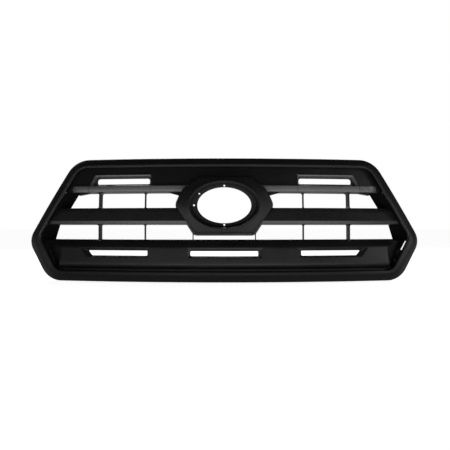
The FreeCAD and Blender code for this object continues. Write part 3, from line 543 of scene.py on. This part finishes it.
def lower_columns(z):
    """Grid columns across the lower panel, closer together at the folds of its ends."""
    folds = [side * (crease_x(z) + step) for side in (-1, 1) for step in (-2.4, 0.0, 2.4)]
    grid = spaced(6.0 - SHELF_HALF, SHELF_HALF - 6.0, GRID)
    return sorted(folds + [x for x in grid if all(abs(x - fold) > 3.0 for fold in folds)])


def sunk(points, back, outer=0.0):
    """A ring of points behind the lower panel's front, deeper towards the outer end of a side vent."""
    ring = []
    for p in points:
        x, y, z = lower_front(p.x, p.y)
        ring.append((x, y + back + outer * min(1.0, max(0.0, (abs(x) - 352.0) / 24.0)), z))
    return ring


patch(lower, rim, [vent[0] for vent in vents] + [slit], lower_columns, rows, lower_front)
for mouth, edge, ledge, brink, hole in vents:
    lower.loft([sunk(mouth, 0.0), sunk(edge, 0.5), sunk(ledge, 2.6, 3.4), sunk(brink, RECESS_DEPTH),
                sunk(hole, RECESS_DEPTH + 0.9), sunk(hole, RECESS_DEPTH + 1.6)])
shelf = []
shelf_xs = spaced(-SHELF_HALF, SHELF_HALF, GRID)
shelf_front = [lower_front(x, SHELF_Z) for x in shelf_xs]
for y, z in ((0.0, 0.0), (1.0, 1.2), (2.6, 1.9), (5.0, 2.1)):
    shelf.append([(x, front + y, z + SHELF_Z) for x, front, _ in shelf_front])
for share in (0.3, 0.65, 1.0):
    y, z = 6.0 + share * (SHELF_REAR[0] - 6.0), -95.4 + share * (SHELF_REAR[1] + 95.4)
    narrowed = [x * (1 - 0.05 * share) for x in shelf_xs]
    shelf.append([(x, bowed(x, y), z) for x in narrowed])
lower.loft(shelf, closed=False)
lower_black = moulded_plastic("lower_panel_abs", (0.0025, 0.0025, 0.0027), (0.012, 0.012, 0.0126),
                              (0.26, 0.54), 650.0, 0.05, 0.7, 0.35, sheen=0.38)
lower_piece = finish_piece("lower_panel_moulding", lower, ["lower_panel"], lower_black)


def thickened(piece, thickness):
    """A moulded wall behind a skin."""
    wall = piece.modifiers.new("wall", "SOLIDIFY")
    wall.thickness = thickness * MM
    wall.offset = -1.0
    return piece


thickened(lower_piece, PANEL_SKIN)

# ---- mid bars ------------------------------------------------------------------------------
# The two bars across the air cells, left and right of the badge housing. Each is an ABS channel
# open at the back, with a leaning face, a flat top and a bevelled lower lip.
BAR_LINE = [(46.0, -8.6), (9.0, -6.5), (5.8, -6.9), (4.6, -8.4), (-1.2, -16.3), (-2.6, -18.8), (-11.0, -39.8),
            (-12.0, -42.0), (-11.5, -43.2), (-9.1, -50.3), (-7.4, -51.5), (46.0, -53.6)]
CHEEK = [(-4.0, 467.8, 435.5), (-53.0, 497.2, 468.8)]
HEXAGON = [(70.0, 77.0, 18.0), (112.5, 43.0, 22.0), (131.5, 0.0, 20.0), (81.0, -77.0, 12.0)]
FIT = 0.8


def cheek_x(y, z):
    """Half width between the side walls at a height and a depth on the centre plane."""
    (z0, a0, b0), (z1, a1, b1) = CHEEK
    share = (z - z0) / (z1 - z0)
    front, rear = a0 + (a1 - a0) * share, b0 + (b1 - b0) * share
    return front + (rear - front) * (y - face_y(z) - 17.0) / 49.0 - FIT


def hexagon_x(y, z):
    """Half width of the badge housing's side at a height and a depth."""
    for (x0, z0, _), (x1, z1, _) in zip(HEXAGON, HEXAGON[1:]):
        if z >= z1:
            return x0 + (x1 - x0) * (z - z0) / (z1 - z0) + max(0.0, y + 10.0) * 6.0 / 58.0 + FIT
    return HEXAGON[-1][0]


def channel(line, thickness):
    """A closed section from a line of (y, z) points and a wall inside it."""
    inner = []
    for i, (y, z) in enumerate(line):
        (ya, za), (yb, zb) = line[max(i - 1, 0)], line[min(i + 1, len(line) - 1)]
        length = math.hypot(yb - ya, zb - za)
        inner.append((y - (zb - za) / length * thickness, z + (yb - ya) / length * thickness))
    return line + inner[::-1]


def bar_rings(section, inner_x, outer_x, stations, side):
    """Rings of a bowed bar between two end surfaces."""
    rings = []
    for k in range(stations + 1):
        share = k / stations
        ring = []
        for y, z in section:
            start, stop = inner_x(y, z), outer_x(y, z)
            x = start + (stop - start) * share
            ring.append((side * x, bowed(x, y), z))
        rings.append(ring)
    return rings


bar_black = moulded_plastic("bar_black_abs", (0.005, 0.005, 0.0053), (0.024, 0.024, 0.025), (0.2, 0.42),
                            650.0, 0.05, 0.75, 0.4, sheen=0.6)
for side, word in ((1, "right"), (-1, "left")):
    bar = Skin()
    bar.loft(bar_rings(channel(BAR_LINE, PLATE), hexagon_x, cheek_x, 34, side), capped=True)
    finish_piece("mid_bar_moulding_" + word, bar, ["mid_bar_" + word], bar_black)

# ---- strip with painted highlight, and vent bezels -----------------------------------------
# The strip under the upper panel in three lengths a side. The middle length is one moulding with
# the bezel of the upper vent, a tray with sloping edges. All are smoother than the panels, and
# screws through the panel pull them down on posts.
STRIP_LINE = [(2.2, 55.0), (-5.4, 54.1), (-6.6, 53.4), (-6.9, 52.2), (-4.9, 39.0), (-4.2, 37.6), (-2.8, 36.6),
              (-1.2, 36.4)]
SEAM_OUTER = 378.0
SEAM_INNER = 200.0
SEAM = 0.95              # gap between two lengths of the strip
STRIP_POST_R = 3.2
STRIP_SCREW_Z = 45.0
BEZEL = [(200.0, 84.5, 2.0), (358.0, 84.5, 4.0), (375.5, 50.5, 0.6), (200.0, 50.5, 0.6)]
BEZEL_FLOOR = [(202.2, 79.2, 2.0), (351.5, 79.2, 3.0), (364.0, 54.5, 0.6), (202.2, 54.5, 0.6)]
UPPER_VENT = [(203.5, 73.5, 6.0), (351.0, 73.5, 7.0), (351.0, 58.6, 4.0), (203.5, 58.6, 4.0)]
BEZEL_FRONT, BEZEL_EDGE, BEZEL_BACK = 14.5, 17.4, 24.0
TRAY_REAR = 26.0
# The tray's skin: an outline, the distance in from it, and the depth behind the face.
TRAY = [(BEZEL, -0.25, TRAY_REAR), (BEZEL, -0.25, BEZEL_FRONT + 0.7), (BEZEL, 0.3, BEZEL_FRONT),
        (BEZEL, 1.0, BEZEL_FRONT + 0.3), (BEZEL_FLOOR, -0.6, BEZEL_EDGE), (BEZEL_FLOOR, 0.0, BEZEL_EDGE + 1.0),
        (BEZEL_FLOOR, 0.8, BEZEL_BACK - 0.8), (BEZEL_FLOOR, 1.4, BEZEL_BACK), (UPPER_VENT, -0.8, BEZEL_BACK),
        (UPPER_VENT, 0.0, BEZEL_BACK + 0.6), (UPPER_VENT, 0.0, TRAY_REAR + 0.5)]

# Painted highlight: the strip and bezels are given a much paler tone than the insert's black, standing in for
# the glow their down-facing faces catch from the floor.
strip_painted_highlight = moulded_plastic("strip_abs_painted_highlight", (0.045, 0.045, 0.047), (0.1, 0.1, 0.104), (0.25, 0.38),
                              850.0, 0.03, 0.6, 0.3, sheen=0.6)


def strip_end_x(y, z):
    """Outer end of the strip, where it dies into the panel."""
    return 424.0 - 0.45 * (z - 45.0)


def turned_back(rings, side):
    """The strip's end curving back towards the panel."""
    return [[(x, y + 0.024 * max(0.0, side * x - 407.0) ** 2, z) for x, y, z in ring] for ring in rings]


def seam_x(y, z):
    """The slanted outer seam of the strip."""
    return SEAM_OUTER - 7.0 * (z - 30.0) / 30.0


def post_on(skin, x, z, side):
    """A post behind the strip that takes a screw from the back."""
    near, far = bowed(x, -2.5), behind(x, z, 15.6)[1]
    turned = [(STRIP_POST_R, near), (STRIP_POST_R, far), (PILOT_R, far), (PILOT_R, far - 3)]
    skin.loft(turned_rings(side * x, z, turned, 14), capped=True)


def tray_ring(corners, distance, back, steps, side):
    points = outline(inset(corners, distance), steps, 5)
    return [behind(side * p.x, p.y, back) for p in points]


strip = channel(STRIP_LINE, 2.0)
for side, word in ((1, "right"), (-1, "left")):
    inner = Skin()
    inner.loft(bar_rings(strip, hexagon_x, lambda y, z: SEAM_INNER - SEAM, 10, side), capped=True)
    post_on(inner, 140.0, STRIP_SCREW_Z, side)
    post_on(inner, 185.0, STRIP_SCREW_Z, side)
    finish_piece("strip_length_inner_" + word, inner, ["strip_inner_" + word], strip_painted_highlight)
    end = Skin()
    length = bar_rings(strip, lambda y, z: seam_x(y, z) + SEAM, strip_end_x, 14, side)
    end.loft(turned_back(length, side), capped=True)
    post_on(end, 392.0, STRIP_SCREW_Z, side)
    finish_piece("strip_length_end_" + word, end, ["strip_end_" + word], strip_painted_highlight)
    tray = Skin()
    steps = run_steps(BEZEL, 8.0)
    rings = [tray_ring(corners, distance, back, steps, side) for corners, distance, back in TRAY]
    tray.loft(rings, round_again=True)
    tray.loft(bar_rings(strip, lambda y, z: SEAM_INNER, seam_x, 14, side), capped=True)
    post_on(tray, 215.0, STRIP_SCREW_Z, side)
    post_on(tray, 363.0, STRIP_SCREW_Z, side)
    finish_piece("vent_bezel_moulding_" + word, tray, ["vent_bezel_" + word], strip_painted_highlight)

# ---- badge housing -------------------------------------------------------------------------
# The hexagonal box in the middle. Its front rises to an oval crest round the seat of a badge,
# a tapering bowl with a flat ledge; holes in the ledge take the badge's pins and hooks. It is
# grained ABS, screwed to the upper panel through a flange.
CROWN = [(97.0, 66.0, -24.0), (112.0, 77.0, -18.0), (135.0, 95.0, -9.0), (170.0, 120.0, 4.0)]
LEDGE_HOLE = (73.0, 48.5)
LEDGE_WALL = 3.0
HOUSING_REAR = 48.0
FLARE = 6.0
PIN_HOLE = (53.0, 2.5)   # height off the centre and radius


def crown_y(x, z):
    """Depth of the faces that fall away from the crest round the seat."""
    low, high = 0.0, len(CROWN) - 1.0
    for _ in range(30):
        middle = (low + high) / 2
        k = min(int(middle), len(CROWN) - 2)
        a, b, y = (p + (q - p) * (middle - k) for p, q in zip(CROWN[k], CROWN[k + 1]))
        if (x / a) ** 2 + (z / b) ** 2 > 1:
            low = middle
        else:
            high = middle
    return y


housing_steps = run_steps(mirrored(HEXAGON), 7.0)
hexagon = outline(mirrored(HEXAGON), housing_steps, 7)
bearings = [math.atan2(p.y / 66.0, p.x / 97.0) for p in hexagon]


def hex_ring(distance, y=None, sink=0.0):
    """A ring round the hexagon, at one depth or on the crown."""
    points = outline(inset(mirrored(HEXAGON), distance), housing_steps, 7)
    return [(p.x, crown_y(p.x, p.y) + sink if y is None else y, p.y) for p in points]


def oval_ring(half, y):
    return [(half[0] * math.cos(t), y, half[1] * math.sin(t)) for t in bearings]


def hex_to_oval(share):
    """A ring on the crown between the hexagon's border and the crest."""
    ring = []
    for (x0, _, z0), (x1, _, z1) in zip(hex_ring(5.4), oval_ring((98.5, 67.4), 0.0)):
        x, z = x0 + (x1 - x0) * share, z0 + (z1 - z0) * share
        ring.append((x, crown_y(x, z), z))
    return ring


# The bowl inside the crest, front and back: half width, half height and depth.
BOWL = [(97.2, 66.2, -24.1), (96.0, 65.0, -24.5), (94.8, 63.8, -24.2), (94.0, 63.0, -23.2), (93.0, 62.1, -20.0),
        (89.6, 59.6, -9.0), (86.9, 57.6, -2.0), (86.0, 57.0, -0.7), (84.9, 56.0, 0.0)]
BOWL_BACK = [(84.9, 56.0, LEDGE_WALL), (89.5, 60.0, LEDGE_WALL - 0.5), (93.0, 63.0, -10.0), (97.5, 66.5, -20.0)]
# The border just inside the hexagon's edge: distance in, and depth below the crown.
BORDER = [(0.0, 3.0), (0.15, 1.1), (0.7, 0.9), (2.0, 0.7), (4.0, 0.7), (4.6, 0.15), (5.4, 0.0)]

housing = Skin()
front = [hex_ring(-FLARE, HOUSING_REAR), hex_ring(-FLARE * 0.5, 19.0)]
front += [hex_ring(distance, sink=sink) for distance, sink in BORDER]
front += [hex_to_oval(share) for share in (0.2, 0.4, 0.6, 0.8, 1.0)]
front += [oval_ring((half, high), y) for half, high, y in BOWL]
housing.loft(front)
back = [oval_ring((half, high), y) for half, high, y in BOWL_BACK]
back += [[(x * 0.92, y + 3.2, z * 0.92) for x, y, z in hex_to_oval(0.5)], hex_ring(3.4, sink=4.0)]
back += [hex_ring(3.0, 4.0), hex_ring(3.0 - FLARE, HOUSING_REAR), hex_ring(-FLARE, HOUSING_REAR)]
housing.loft(back)


def circle(x, z, r, sides=16):
    turns = [2 * math.pi * k / sides for k in range(sides)]
    return [Vector((x + r * math.cos(t), z + r * math.sin(t))) for t in turns]


def slot_loop(x0, x1, z0, z1, r):
    return outline([(x1, z1, r), (x1, z0, r), (x0, z0, r), (x0, z1, r)], [3, 2, 3, 2], 3)


ledge_rim = [Vector((84.9 * math.cos(t), 56.0 * math.sin(t))) for t in bearings]
ledge_edge = [Vector((73.9 * math.cos(t), 49.4 * math.sin(t))) for t in bearings]
ledge_holes = [circle(0.0, side * PIN_HOLE[0], PIN_HOLE[1]) for side in (-1, 1)]
ledge_holes += [slot_loop(-84.2, -79.6, -2.3, 2.3, 0.8), slot_loop(-69.5, -65.5, 29.5, 33.0, 0.5)]
for y in (0.0, LEDGE_WALL):
    patch(housing, ledge_rim, ledge_holes + [ledge_edge], None, [], lambda x, z: (x, y, z))
for loop in ledge_holes:
    housing.loft([[(p.x, 0.0, p.y) for p in loop], [(p.x, LEDGE_WALL, p.y) for p in loop]])
housing.loft([oval_ring((73.9, 49.4), 0.0), oval_ring((73.2, 48.7), 0.3), oval_ring(LEDGE_HOLE, 1.0),
              oval_ring(LEDGE_HOLE, LEDGE_WALL - 0.3), oval_ring((73.9, 49.4), LEDGE_WALL)])
FLANGE_BACK = 23.4
flange_edge = [p for p in outline(inset(mirrored(HEXAGON), -17.0), housing_steps, 7) if p.y > 57.0]
flange_inner = [p for p in outline(inset(mirrored(HEXAGON), 1.0), housing_steps, 7) if p.y > 57.0]
flange_edge.sort(key=lambda p: p.x)
flange_inner.sort(key=lambda p: p.x)


def along(points, count):
    """Evenly spaced points along a line of points."""
    lengths = [0.0]
    for a, b in zip(points, points[1:]):
        lengths.append(lengths[-1] + (b - a).length)
    made = []
    for k in range(count + 1):
        want = lengths[-1] * k / count
        i = next(j for j in range(1, len(lengths)) if want <= lengths[j] + 1e-6)
        made.append(points[i - 1].lerp(points[i], (want - lengths[i - 1]) / (lengths[i] - lengths[i - 1])))
    return made


lines = []
FLANGE_FRONT = FLANGE_BACK - PLATE
for points, back in ((flange_inner, FLANGE_BACK), (flange_edge, FLANGE_BACK), (flange_edge, FLANGE_FRONT),
                     (flange_inner, FLANGE_FRONT)):
    lines.append([behind(p.x, p.y, back) for p in along(points, 60)])
housing.loft([list(column) for column in zip(*lines)], capped=True)
housing_black = moulded_plastic("housing_black_abs", (0.0015, 0.0015, 0.0017), (0.014, 0.014, 0.0147),
                                (0.3, 0.62), 560.0, 0.06, 0.85, 0.4, sheen=0.26)
finish_piece("badge_housing_moulding", housing, ["emblem_housing"], housing_black)

# ---- ribs ----------------------------------------------------------------------------------
# Thin upright blades that divide the air cells. Each slots over the bar from behind, spreads
# into small fillets where it meets a shelf, and has a foot at each end with one screw.
RIBS = {"outer": (346.0, 24.0), "inner": (219.0, 52.0)}
RIB_REAR = 84.0
RIB_HALF = 1.0
RIB_FILLET = 5.0
UPPER_CELL = (-7.2, 34.6)
LOWER_CELL = (-97.0, -52.6)
BAR_REAR = 46.4
UPPER_FOOT = 38.5
LOWER_FOOT = -106.0
FOOT = 3.0
FOOT_HALF = 9.0
FOOT_DEPTHS = (28.0, 50.0)

rib_black = moulded_plastic("rib_black_pp", (0.002, 0.002, 0.0022), (0.007, 0.007, 0.0074), (0.48, 0.62),
                            800.0, 0.04, 0.5, 0.2)


def rib_spread(z, cell):
    """Half thickness of a rib, spreading into fillets at both ends of an air cell."""
    near = min(z - cell[0], cell[1] - z)
    if near >= RIB_FILLET:
        return RIB_HALF
    return RIB_HALF + RIB_FILLET - math.sqrt(RIB_FILLET ** 2 - (RIB_FILLET - max(near, 0.0)) ** 2)


def rib_ring(x, z, half, front, rear):
    """A blade's section at a height, with a rounded nose."""
    nose = min(half, 1.0)
    left, right, ease = x - half, x + half, 0.35 * nose
    return [(left, rear, z), (left, front + 1.6, z), (left + ease, front + 0.5, z), (left + nose, front, z),
            (right - nose, front, z), (right - ease, front + 0.5, z), (right, front + 1.6, z), (right, rear, z)]


def cell_levels(cell):
    low, high = cell
    fillet = [RIB_FILLET * k / 6 for k in range(6)]
    middle = spaced(low + RIB_FILLET, high - RIB_FILLET, 8.0)
    return [low + f for f in fillet] + middle + [high - f for f in reversed(fillet)]


def rib_levels():
    """Heights up a rib, its half thickness there, and whether it passes behind a bar or a shelf."""
    levels = [(z, RIB_HALF, True) for z in (LOWER_FOOT, LOWER_CELL[0] - 0.1)]
    levels += [(z, rib_spread(z, LOWER_CELL), False) for z in cell_levels(LOWER_CELL)]
    levels += [(z, RIB_HALF, True) for z in (LOWER_CELL[1] + 0.1, -30.0, UPPER_CELL[0] - 0.1)]
    levels += [(z, rib_spread(z, UPPER_CELL), False) for z in cell_levels(UPPER_CELL)]
    return levels + [(z, RIB_HALF, True) for z in (UPPER_CELL[1] + 0.1, UPPER_FOOT + FOOT)]


def block(skin, x0, x1, y0, y1, z0, z1, ease=0.5):
    """A small moulded block with eased upright edges."""
    loop = [(x0 + ease, y0), (x1 - ease, y0), (x1, y0 + ease), (x1, y1 - ease), (x1 - ease, y1),
            (x0 + ease, y1), (x0, y1 - ease), (x0, y0 + ease)]
    skin.loft([[(x, y, z) for x, y in loop] for z in (z0, z1)], capped=True)


for side, word in ((1, "right"), (-1, "left")):
    for name, (at, start) in RIBS.items():
        x = side * at
        rib = Skin()
        rings = []
        for z, half, slotted in rib_levels():
            front = bowed(x, BAR_REAR) if slotted else behind(x, z, start)[1]
            rings.append(rib_ring(x, z, half, front, behind(x, z, RIB_REAR)[1]))
        rib.loft(rings, capped=True)
        foot_front, foot_rear = (bowed(x, depth) for depth in FOOT_DEPTHS)
        for z in (UPPER_FOOT, LOWER_FOOT):
            block(rib, x - FOOT_HALF, x + FOOT_HALF, foot_front, foot_rear, z, z + FOOT)
        which = name + "_" + word
        finish_piece("rib_blade_" + which, rib, ["rib_" + which], rib_black)
for word in ("right", "left"):
    dress("rib_centre_" + word, rib_black)

# ---- side walls, mounting rail and retainers -----------------------------------------------
# The side walls close the insert at its ends. The rail behind the upper panel carries the two
# bolted tabs and the two push-in retainers. All are plain black polypropylene or nylon; the side walls
# are given a near-black tone as painted shade, for the cheeks that sit in shadow inside the surround.
# Painted shade: the side walls' near-black, dull colour stands in for the shadow that fills the cheeks.
wall_painted_shade = moulded_plastic("wall_pp_painted_shade", (0.0008, 0.0008, 0.0009), (0.003, 0.003, 0.0032), (0.66, 0.8),
                             700.0, 0.06, 0.6, 0.2, sheen=0.1)
rail_black = moulded_plastic("rail_black_pp", (0.012, 0.012, 0.0125), (0.024, 0.024, 0.025), (0.42, 0.56),
                             600.0, 0.06, 0.4, 0.5)
nylon = moulded_plastic("retainer_nylon", (0.02, 0.02, 0.021), (0.04, 0.04, 0.042), (0.3, 0.42),
                        1100.0, 0.02, 0.4, 0.3)
for word in ("right", "left"):
    dress("side_cheek_" + word, wall_painted_shade)
    dress("retainer_body_" + word, nylon)
    dress("retainer_pin_" + word, nylon)
dress("top_mount_rail", rail_black)

# ---- bonnet seal and side pads -------------------------------------------------------------
# The seal that the bonnet closes on: an extruded sponge-rubber bulb with a foot, pressed along
# the rail. The pads are die-cut foam rings pushed over the side locators against rattle.
SEAL_HALF = 388.0
SEAL_FOOT_Z = 107.0
SEAL_FRONT = 56.5
SEAL_SECTION = [(0.3, 0.0), (8.7, 0.0), (9.0, 0.4), (8.6, 2.6), (9.6, 4.4), (10.5, 6.6), (10.7, 9.0),
                (9.9, 11.6), (8.1, 13.8), (5.8, 14.8), (3.2, 14.8), (0.9, 13.8), (-0.9, 11.6), (-1.7, 9.0),
                (-1.5, 6.6), (-0.6, 4.4), (0.4, 2.6), (0.0, 0.4)]


def make_foam_cells():
    """The open skin of sponge rubber: small cells, and paler dust lying in them."""
    tree, given, result = node_group("foam_cells", {"Cell scale": 700.0, "Dust": 0.4},
                                     ("Tone", "Roughness", "Height"))
    cells = texture(tree, "ShaderNodeTexVoronoi", given.outputs["Cell scale"])
    blotches = texture(tree, "ShaderNodeTexNoise", 30.0, Detail=4.0)
    pits = remap(tree, cells.outputs["Distance"], 0.1, 0.6, 0.0, 1.0)
    clouds = remap(tree, blotches.outputs["Fac"], 0.35, 0.7, 0.0, 1.0)
    tone = combine(tree, "ADD", combine(tree, "MULTIPLY", pits, 0.5),
                   combine(tree, "MULTIPLY", clouds, given.outputs["Dust"]))
    tree.links.new(tone, result.inputs["Tone"])
    tree.links.new(remap(tree, clouds, 0.0, 1.0, 0.78, 0.95), result.inputs["Roughness"])
    tree.links.new(pits, result.inputs["Height"])
    return tree


foam, foam_tree, foam_shader = new_material("sponge_rubber")
foam_skin = use_group(foam_tree, make_foam_cells(), Dust=0.45)
foam_tree.links.new(tinted(foam_tree, foam_skin.outputs["Tone"], (0.008, 0.008, 0.008), (0.03, 0.03, 0.029)),
                    foam_shader.inputs["Base Color"])
foam_tree.links.new(foam_skin.outputs["Roughness"], foam_shader.inputs["Roughness"])
bumped(foam_tree, foam_shader, foam_skin.outputs["Height"], 0.25 * MM, 0.7)

seal = Skin()
stations = spaced(-SEAL_HALF, SEAL_HALF, 8.0)
rings = []
for k, x in enumerate(stations):
    ripple = 0.12 * math.sin(0.06 * x) + 0.08 * math.sin(0.021 * x + 1.0)
    close = 0.8 if k in (0, len(stations) - 1) else 1.0
    ring = []
    for y, z in SEAL_SECTION:
        swell = ripple * z / 15.0
        deep = 4.5 + (y - 4.5) * close
        ring.append((x, bowed(x, SEAL_FRONT + deep + swell), SEAL_FOOT_Z + 7.0 * (1 - close) + z * close))
    rings.append(ring)
seal.loft(rings, capped=True)
seal_piece = finish_piece("bonnet_seal_bulb", seal, ["bonnet_seal"], foam, sharp=60.0)

PAD_R, PAD_BORE = 6.9, 5.05
# The pad's section round its axis: radius, and depth from its front.
PAD_SECTION = [(PAD_BORE, 0.3), (PAD_BORE + 0.3, 0.05), (PAD_R - 0.9, 0.0), (PAD_R - 0.2, 0.7), (PAD_R, 2.0),
               (PAD_R, 4.0), (PAD_R - 0.2, 5.3), (PAD_R - 0.9, 6.0), (PAD_BORE + 0.3, 5.95), (PAD_BORE, 5.7)]
for side, word in ((1, "right"), (-1, "left")):
    low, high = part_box("side_pad_" + word)
    centre = (low + high) / 2 / MM
    start = low.y / MM
    turned = [(r, start + depth) for r, depth in PAD_SECTION]
    pad = Skin()
    pad.loft(turned_rings(centre.x, centre.z, turned, 32), round_again=True)
    pad_piece = finish_piece("side_pad_ring_" + word, pad, ["side_pad_" + word], foam,
                             sharp=60.0)

# ---- screws and spring clips ---------------------------------------------------------------
# Zinc-plated pan-head tapping screws join the mouldings from behind. Folded spring-steel clips
# sit on the towers along the bottom and grip the bumper's cover.


def make_metal_skin():
    """A worked metal surface: fine scratches, plating blotches, and their gloss."""
    tree, given, result = node_group("metal_skin", {"Scratch scale": 600.0, "Blotch": 0.5},
                                     ("Tone", "Roughness", "Height"))
    scratches = texture(tree, "ShaderNodeTexNoise", given.outputs["Scratch scale"], Detail=5.0,
                        Distortion=1.5)
    blotches = texture(tree, "ShaderNodeTexNoise", 180.0, Detail=3.0)
    patches = combine(tree, "MULTIPLY", remap(tree, blotches.outputs["Fac"], 0.35, 0.65, 0.0, 1.0),
                      given.outputs["Blotch"])
    tone = combine(tree, "ADD", patches, combine(tree, "MULTIPLY", scratches.outputs["Fac"], 0.4))
    tree.links.new(tone, result.inputs["Tone"])
    tree.links.new(remap(tree, scratches.outputs["Fac"], 0.3, 0.7, 0.24, 0.46), result.inputs["Roughness"])
    tree.links.new(scratches.outputs["Fac"], result.inputs["Height"])
    return tree


metal_skin = make_metal_skin()


def metal(name, dark, light, blotch):
    material, tree, shader = new_material(name)
    skin = use_group(tree, metal_skin, Blotch=blotch)
    tree.links.new(tinted(tree, skin.outputs["Tone"], dark, light), shader.inputs["Base Color"])
    tree.links.new(skin.outputs["Roughness"], shader.inputs["Roughness"])
    shader.inputs["Metallic"].default_value = 1.0
    bumped(tree, shader, skin.outputs["Height"], 0.02 * MM, 0.4)
    return material


zinc = metal("zinc_plated_steel", (0.42, 0.41, 0.38), (0.68, 0.67, 0.62), 0.5)
spring = metal("phosphated_spring_steel", (0.07, 0.07, 0.075), (0.16, 0.16, 0.17), 0.7)
for node in ("surround_screws", "strip_screws", "housing_screws", "rib_foot_screws"):
    dress(node, zinc)
dress("lower_spring_clips", spring)

# ---- studio --------------------------------------------------------------------------------
# A pale floor, a plain white surround, soft light low in front, on the right and behind, a bright
# card lying on the floor, and the camera straight in front at the height of the grille's middle.
FLOOR_Z = -0.2105
FLOOR_HALF = 30.0
floor_mesh = bpy.data.meshes.new("studio_floor")
floor_corners = [(x * FLOOR_HALF, y * FLOOR_HALF, FLOOR_Z) for x, y in ((-1, -1), (1, -1), (1, 1), (-1, 1))]
floor_mesh.from_pydata(floor_corners, [], [(0, 1, 2, 3)])
floor = bpy.data.objects.new("studio_floor", floor_mesh)
bpy.context.scene.collection.objects.link(floor)
paint, paint_tree, paint_shader = new_material("pale_floor")
mottle = texture(paint_tree, "ShaderNodeTexNoise", 3.0, Detail=3.0)
paint_tree.links.new(tinted(paint_tree, mottle.outputs["Fac"], (0.86, 0.86, 0.86), (0.9, 0.9, 0.9)),
                     paint_shader.inputs["Base Color"])
paint_shader.inputs["Roughness"].default_value = 0.8
paint_shader.inputs["Emission Color"].default_value = (1.0, 1.0, 1.0, 1.0)
seen = paint_tree.nodes.new("ShaderNodeLightPath")
paint_tree.links.new(remap(paint_tree, seen.outputs["Is Camera Ray"], 0.0, 1.0, 0.15, 0.92),
                     paint_shader.inputs["Emission Strength"])
floor_mesh.materials.append(paint)
floor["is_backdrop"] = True

world = bpy.data.worlds.new("studio")
world.use_nodes = True
bpy.context.scene.world = world
tree = world.node_tree
backdrop = tree.nodes["Background"]
glow = tree.nodes.new("ShaderNodeBackground")
either = tree.nodes.new("ShaderNodeMixShader")
path = tree.nodes.new("ShaderNodeLightPath")
where = tree.nodes.new("ShaderNodeTexCoord")
split = tree.nodes.new("ShaderNodeSeparateXYZ")
tree.links.new(where.outputs["Generated"], split.inputs["Vector"])
height = remap(tree, split.outputs["Z"], -0.1, 0.5, 1.0, 0.0)
shade = tinted(tree, combine(tree, "POWER", height, 2.4), (0.05, 0.05, 0.05), (0.26, 0.26, 0.26))
tree.links.new(shade, glow.inputs["Color"])
glow.inputs["Strength"].default_value = 1.0
backdrop.inputs["Color"].default_value = (1.0, 1.0, 1.0, 1.0)
backdrop.inputs["Strength"].default_value = 1.0
tree.links.new(path.outputs["Is Camera Ray"], either.inputs["Fac"])
tree.links.new(glow.outputs["Background"], either.inputs[1])
tree.links.new(backdrop.outputs["Background"], either.inputs[2])
tree.links.new(either.outputs["Shader"], tree.nodes["World Output"].inputs["Surface"])


def softbox(name, place, aim, size, power):
    """A rectangular soft light aimed at a point."""
    lamp = bpy.data.lights.new(name, "AREA")
    lamp.shape = "RECTANGLE"
    lamp.size, lamp.size_y = size
    lamp.energy = power
    light = bpy.data.objects.new(name, lamp)
    light.location = place
    light.rotation_euler = (Vector(aim) - Vector(place)).to_track_quat("-Z", "Y").to_euler()
    bpy.context.scene.collection.objects.link(light)
    light.visible_camera = False


softbox("low_front_softbox", (0.0, -2.4, -0.15), (0.0, 0.0, 0.0), (3.0, 0.4), 4.0)
softbox("right_softbox", (2.2, -0.9, 0.2), (0.2, 0.0, 0.0), (0.8, 1.4), 9.0)
softbox("floor_card", (0.0, -0.36, -0.205), (0.0, -0.36, 0.0), (1.8, 0.5), 5.0)
softbox("rear_softbox", (-0.6, 2.4, 1.3), (0.0, 0.1, 0.0), (2.4, 1.0), 26.0)

lens = bpy.data.cameras.new("studio_camera")
lens.lens = 65.97
lens.sensor_width = 36.0
lens.shift_x = 0.0016
camera = bpy.data.objects.new("studio_camera", lens)
camera.location = (0.0, -2.230, -0.0534)
camera.rotation_euler = (math.radians(90), 0.0, 0.0)
bpy.context.scene.collection.objects.link(camera)
bpy.context.scene.camera = camera
bpy.context.scene.view_settings.view_transform = "Standard"

low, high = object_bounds()
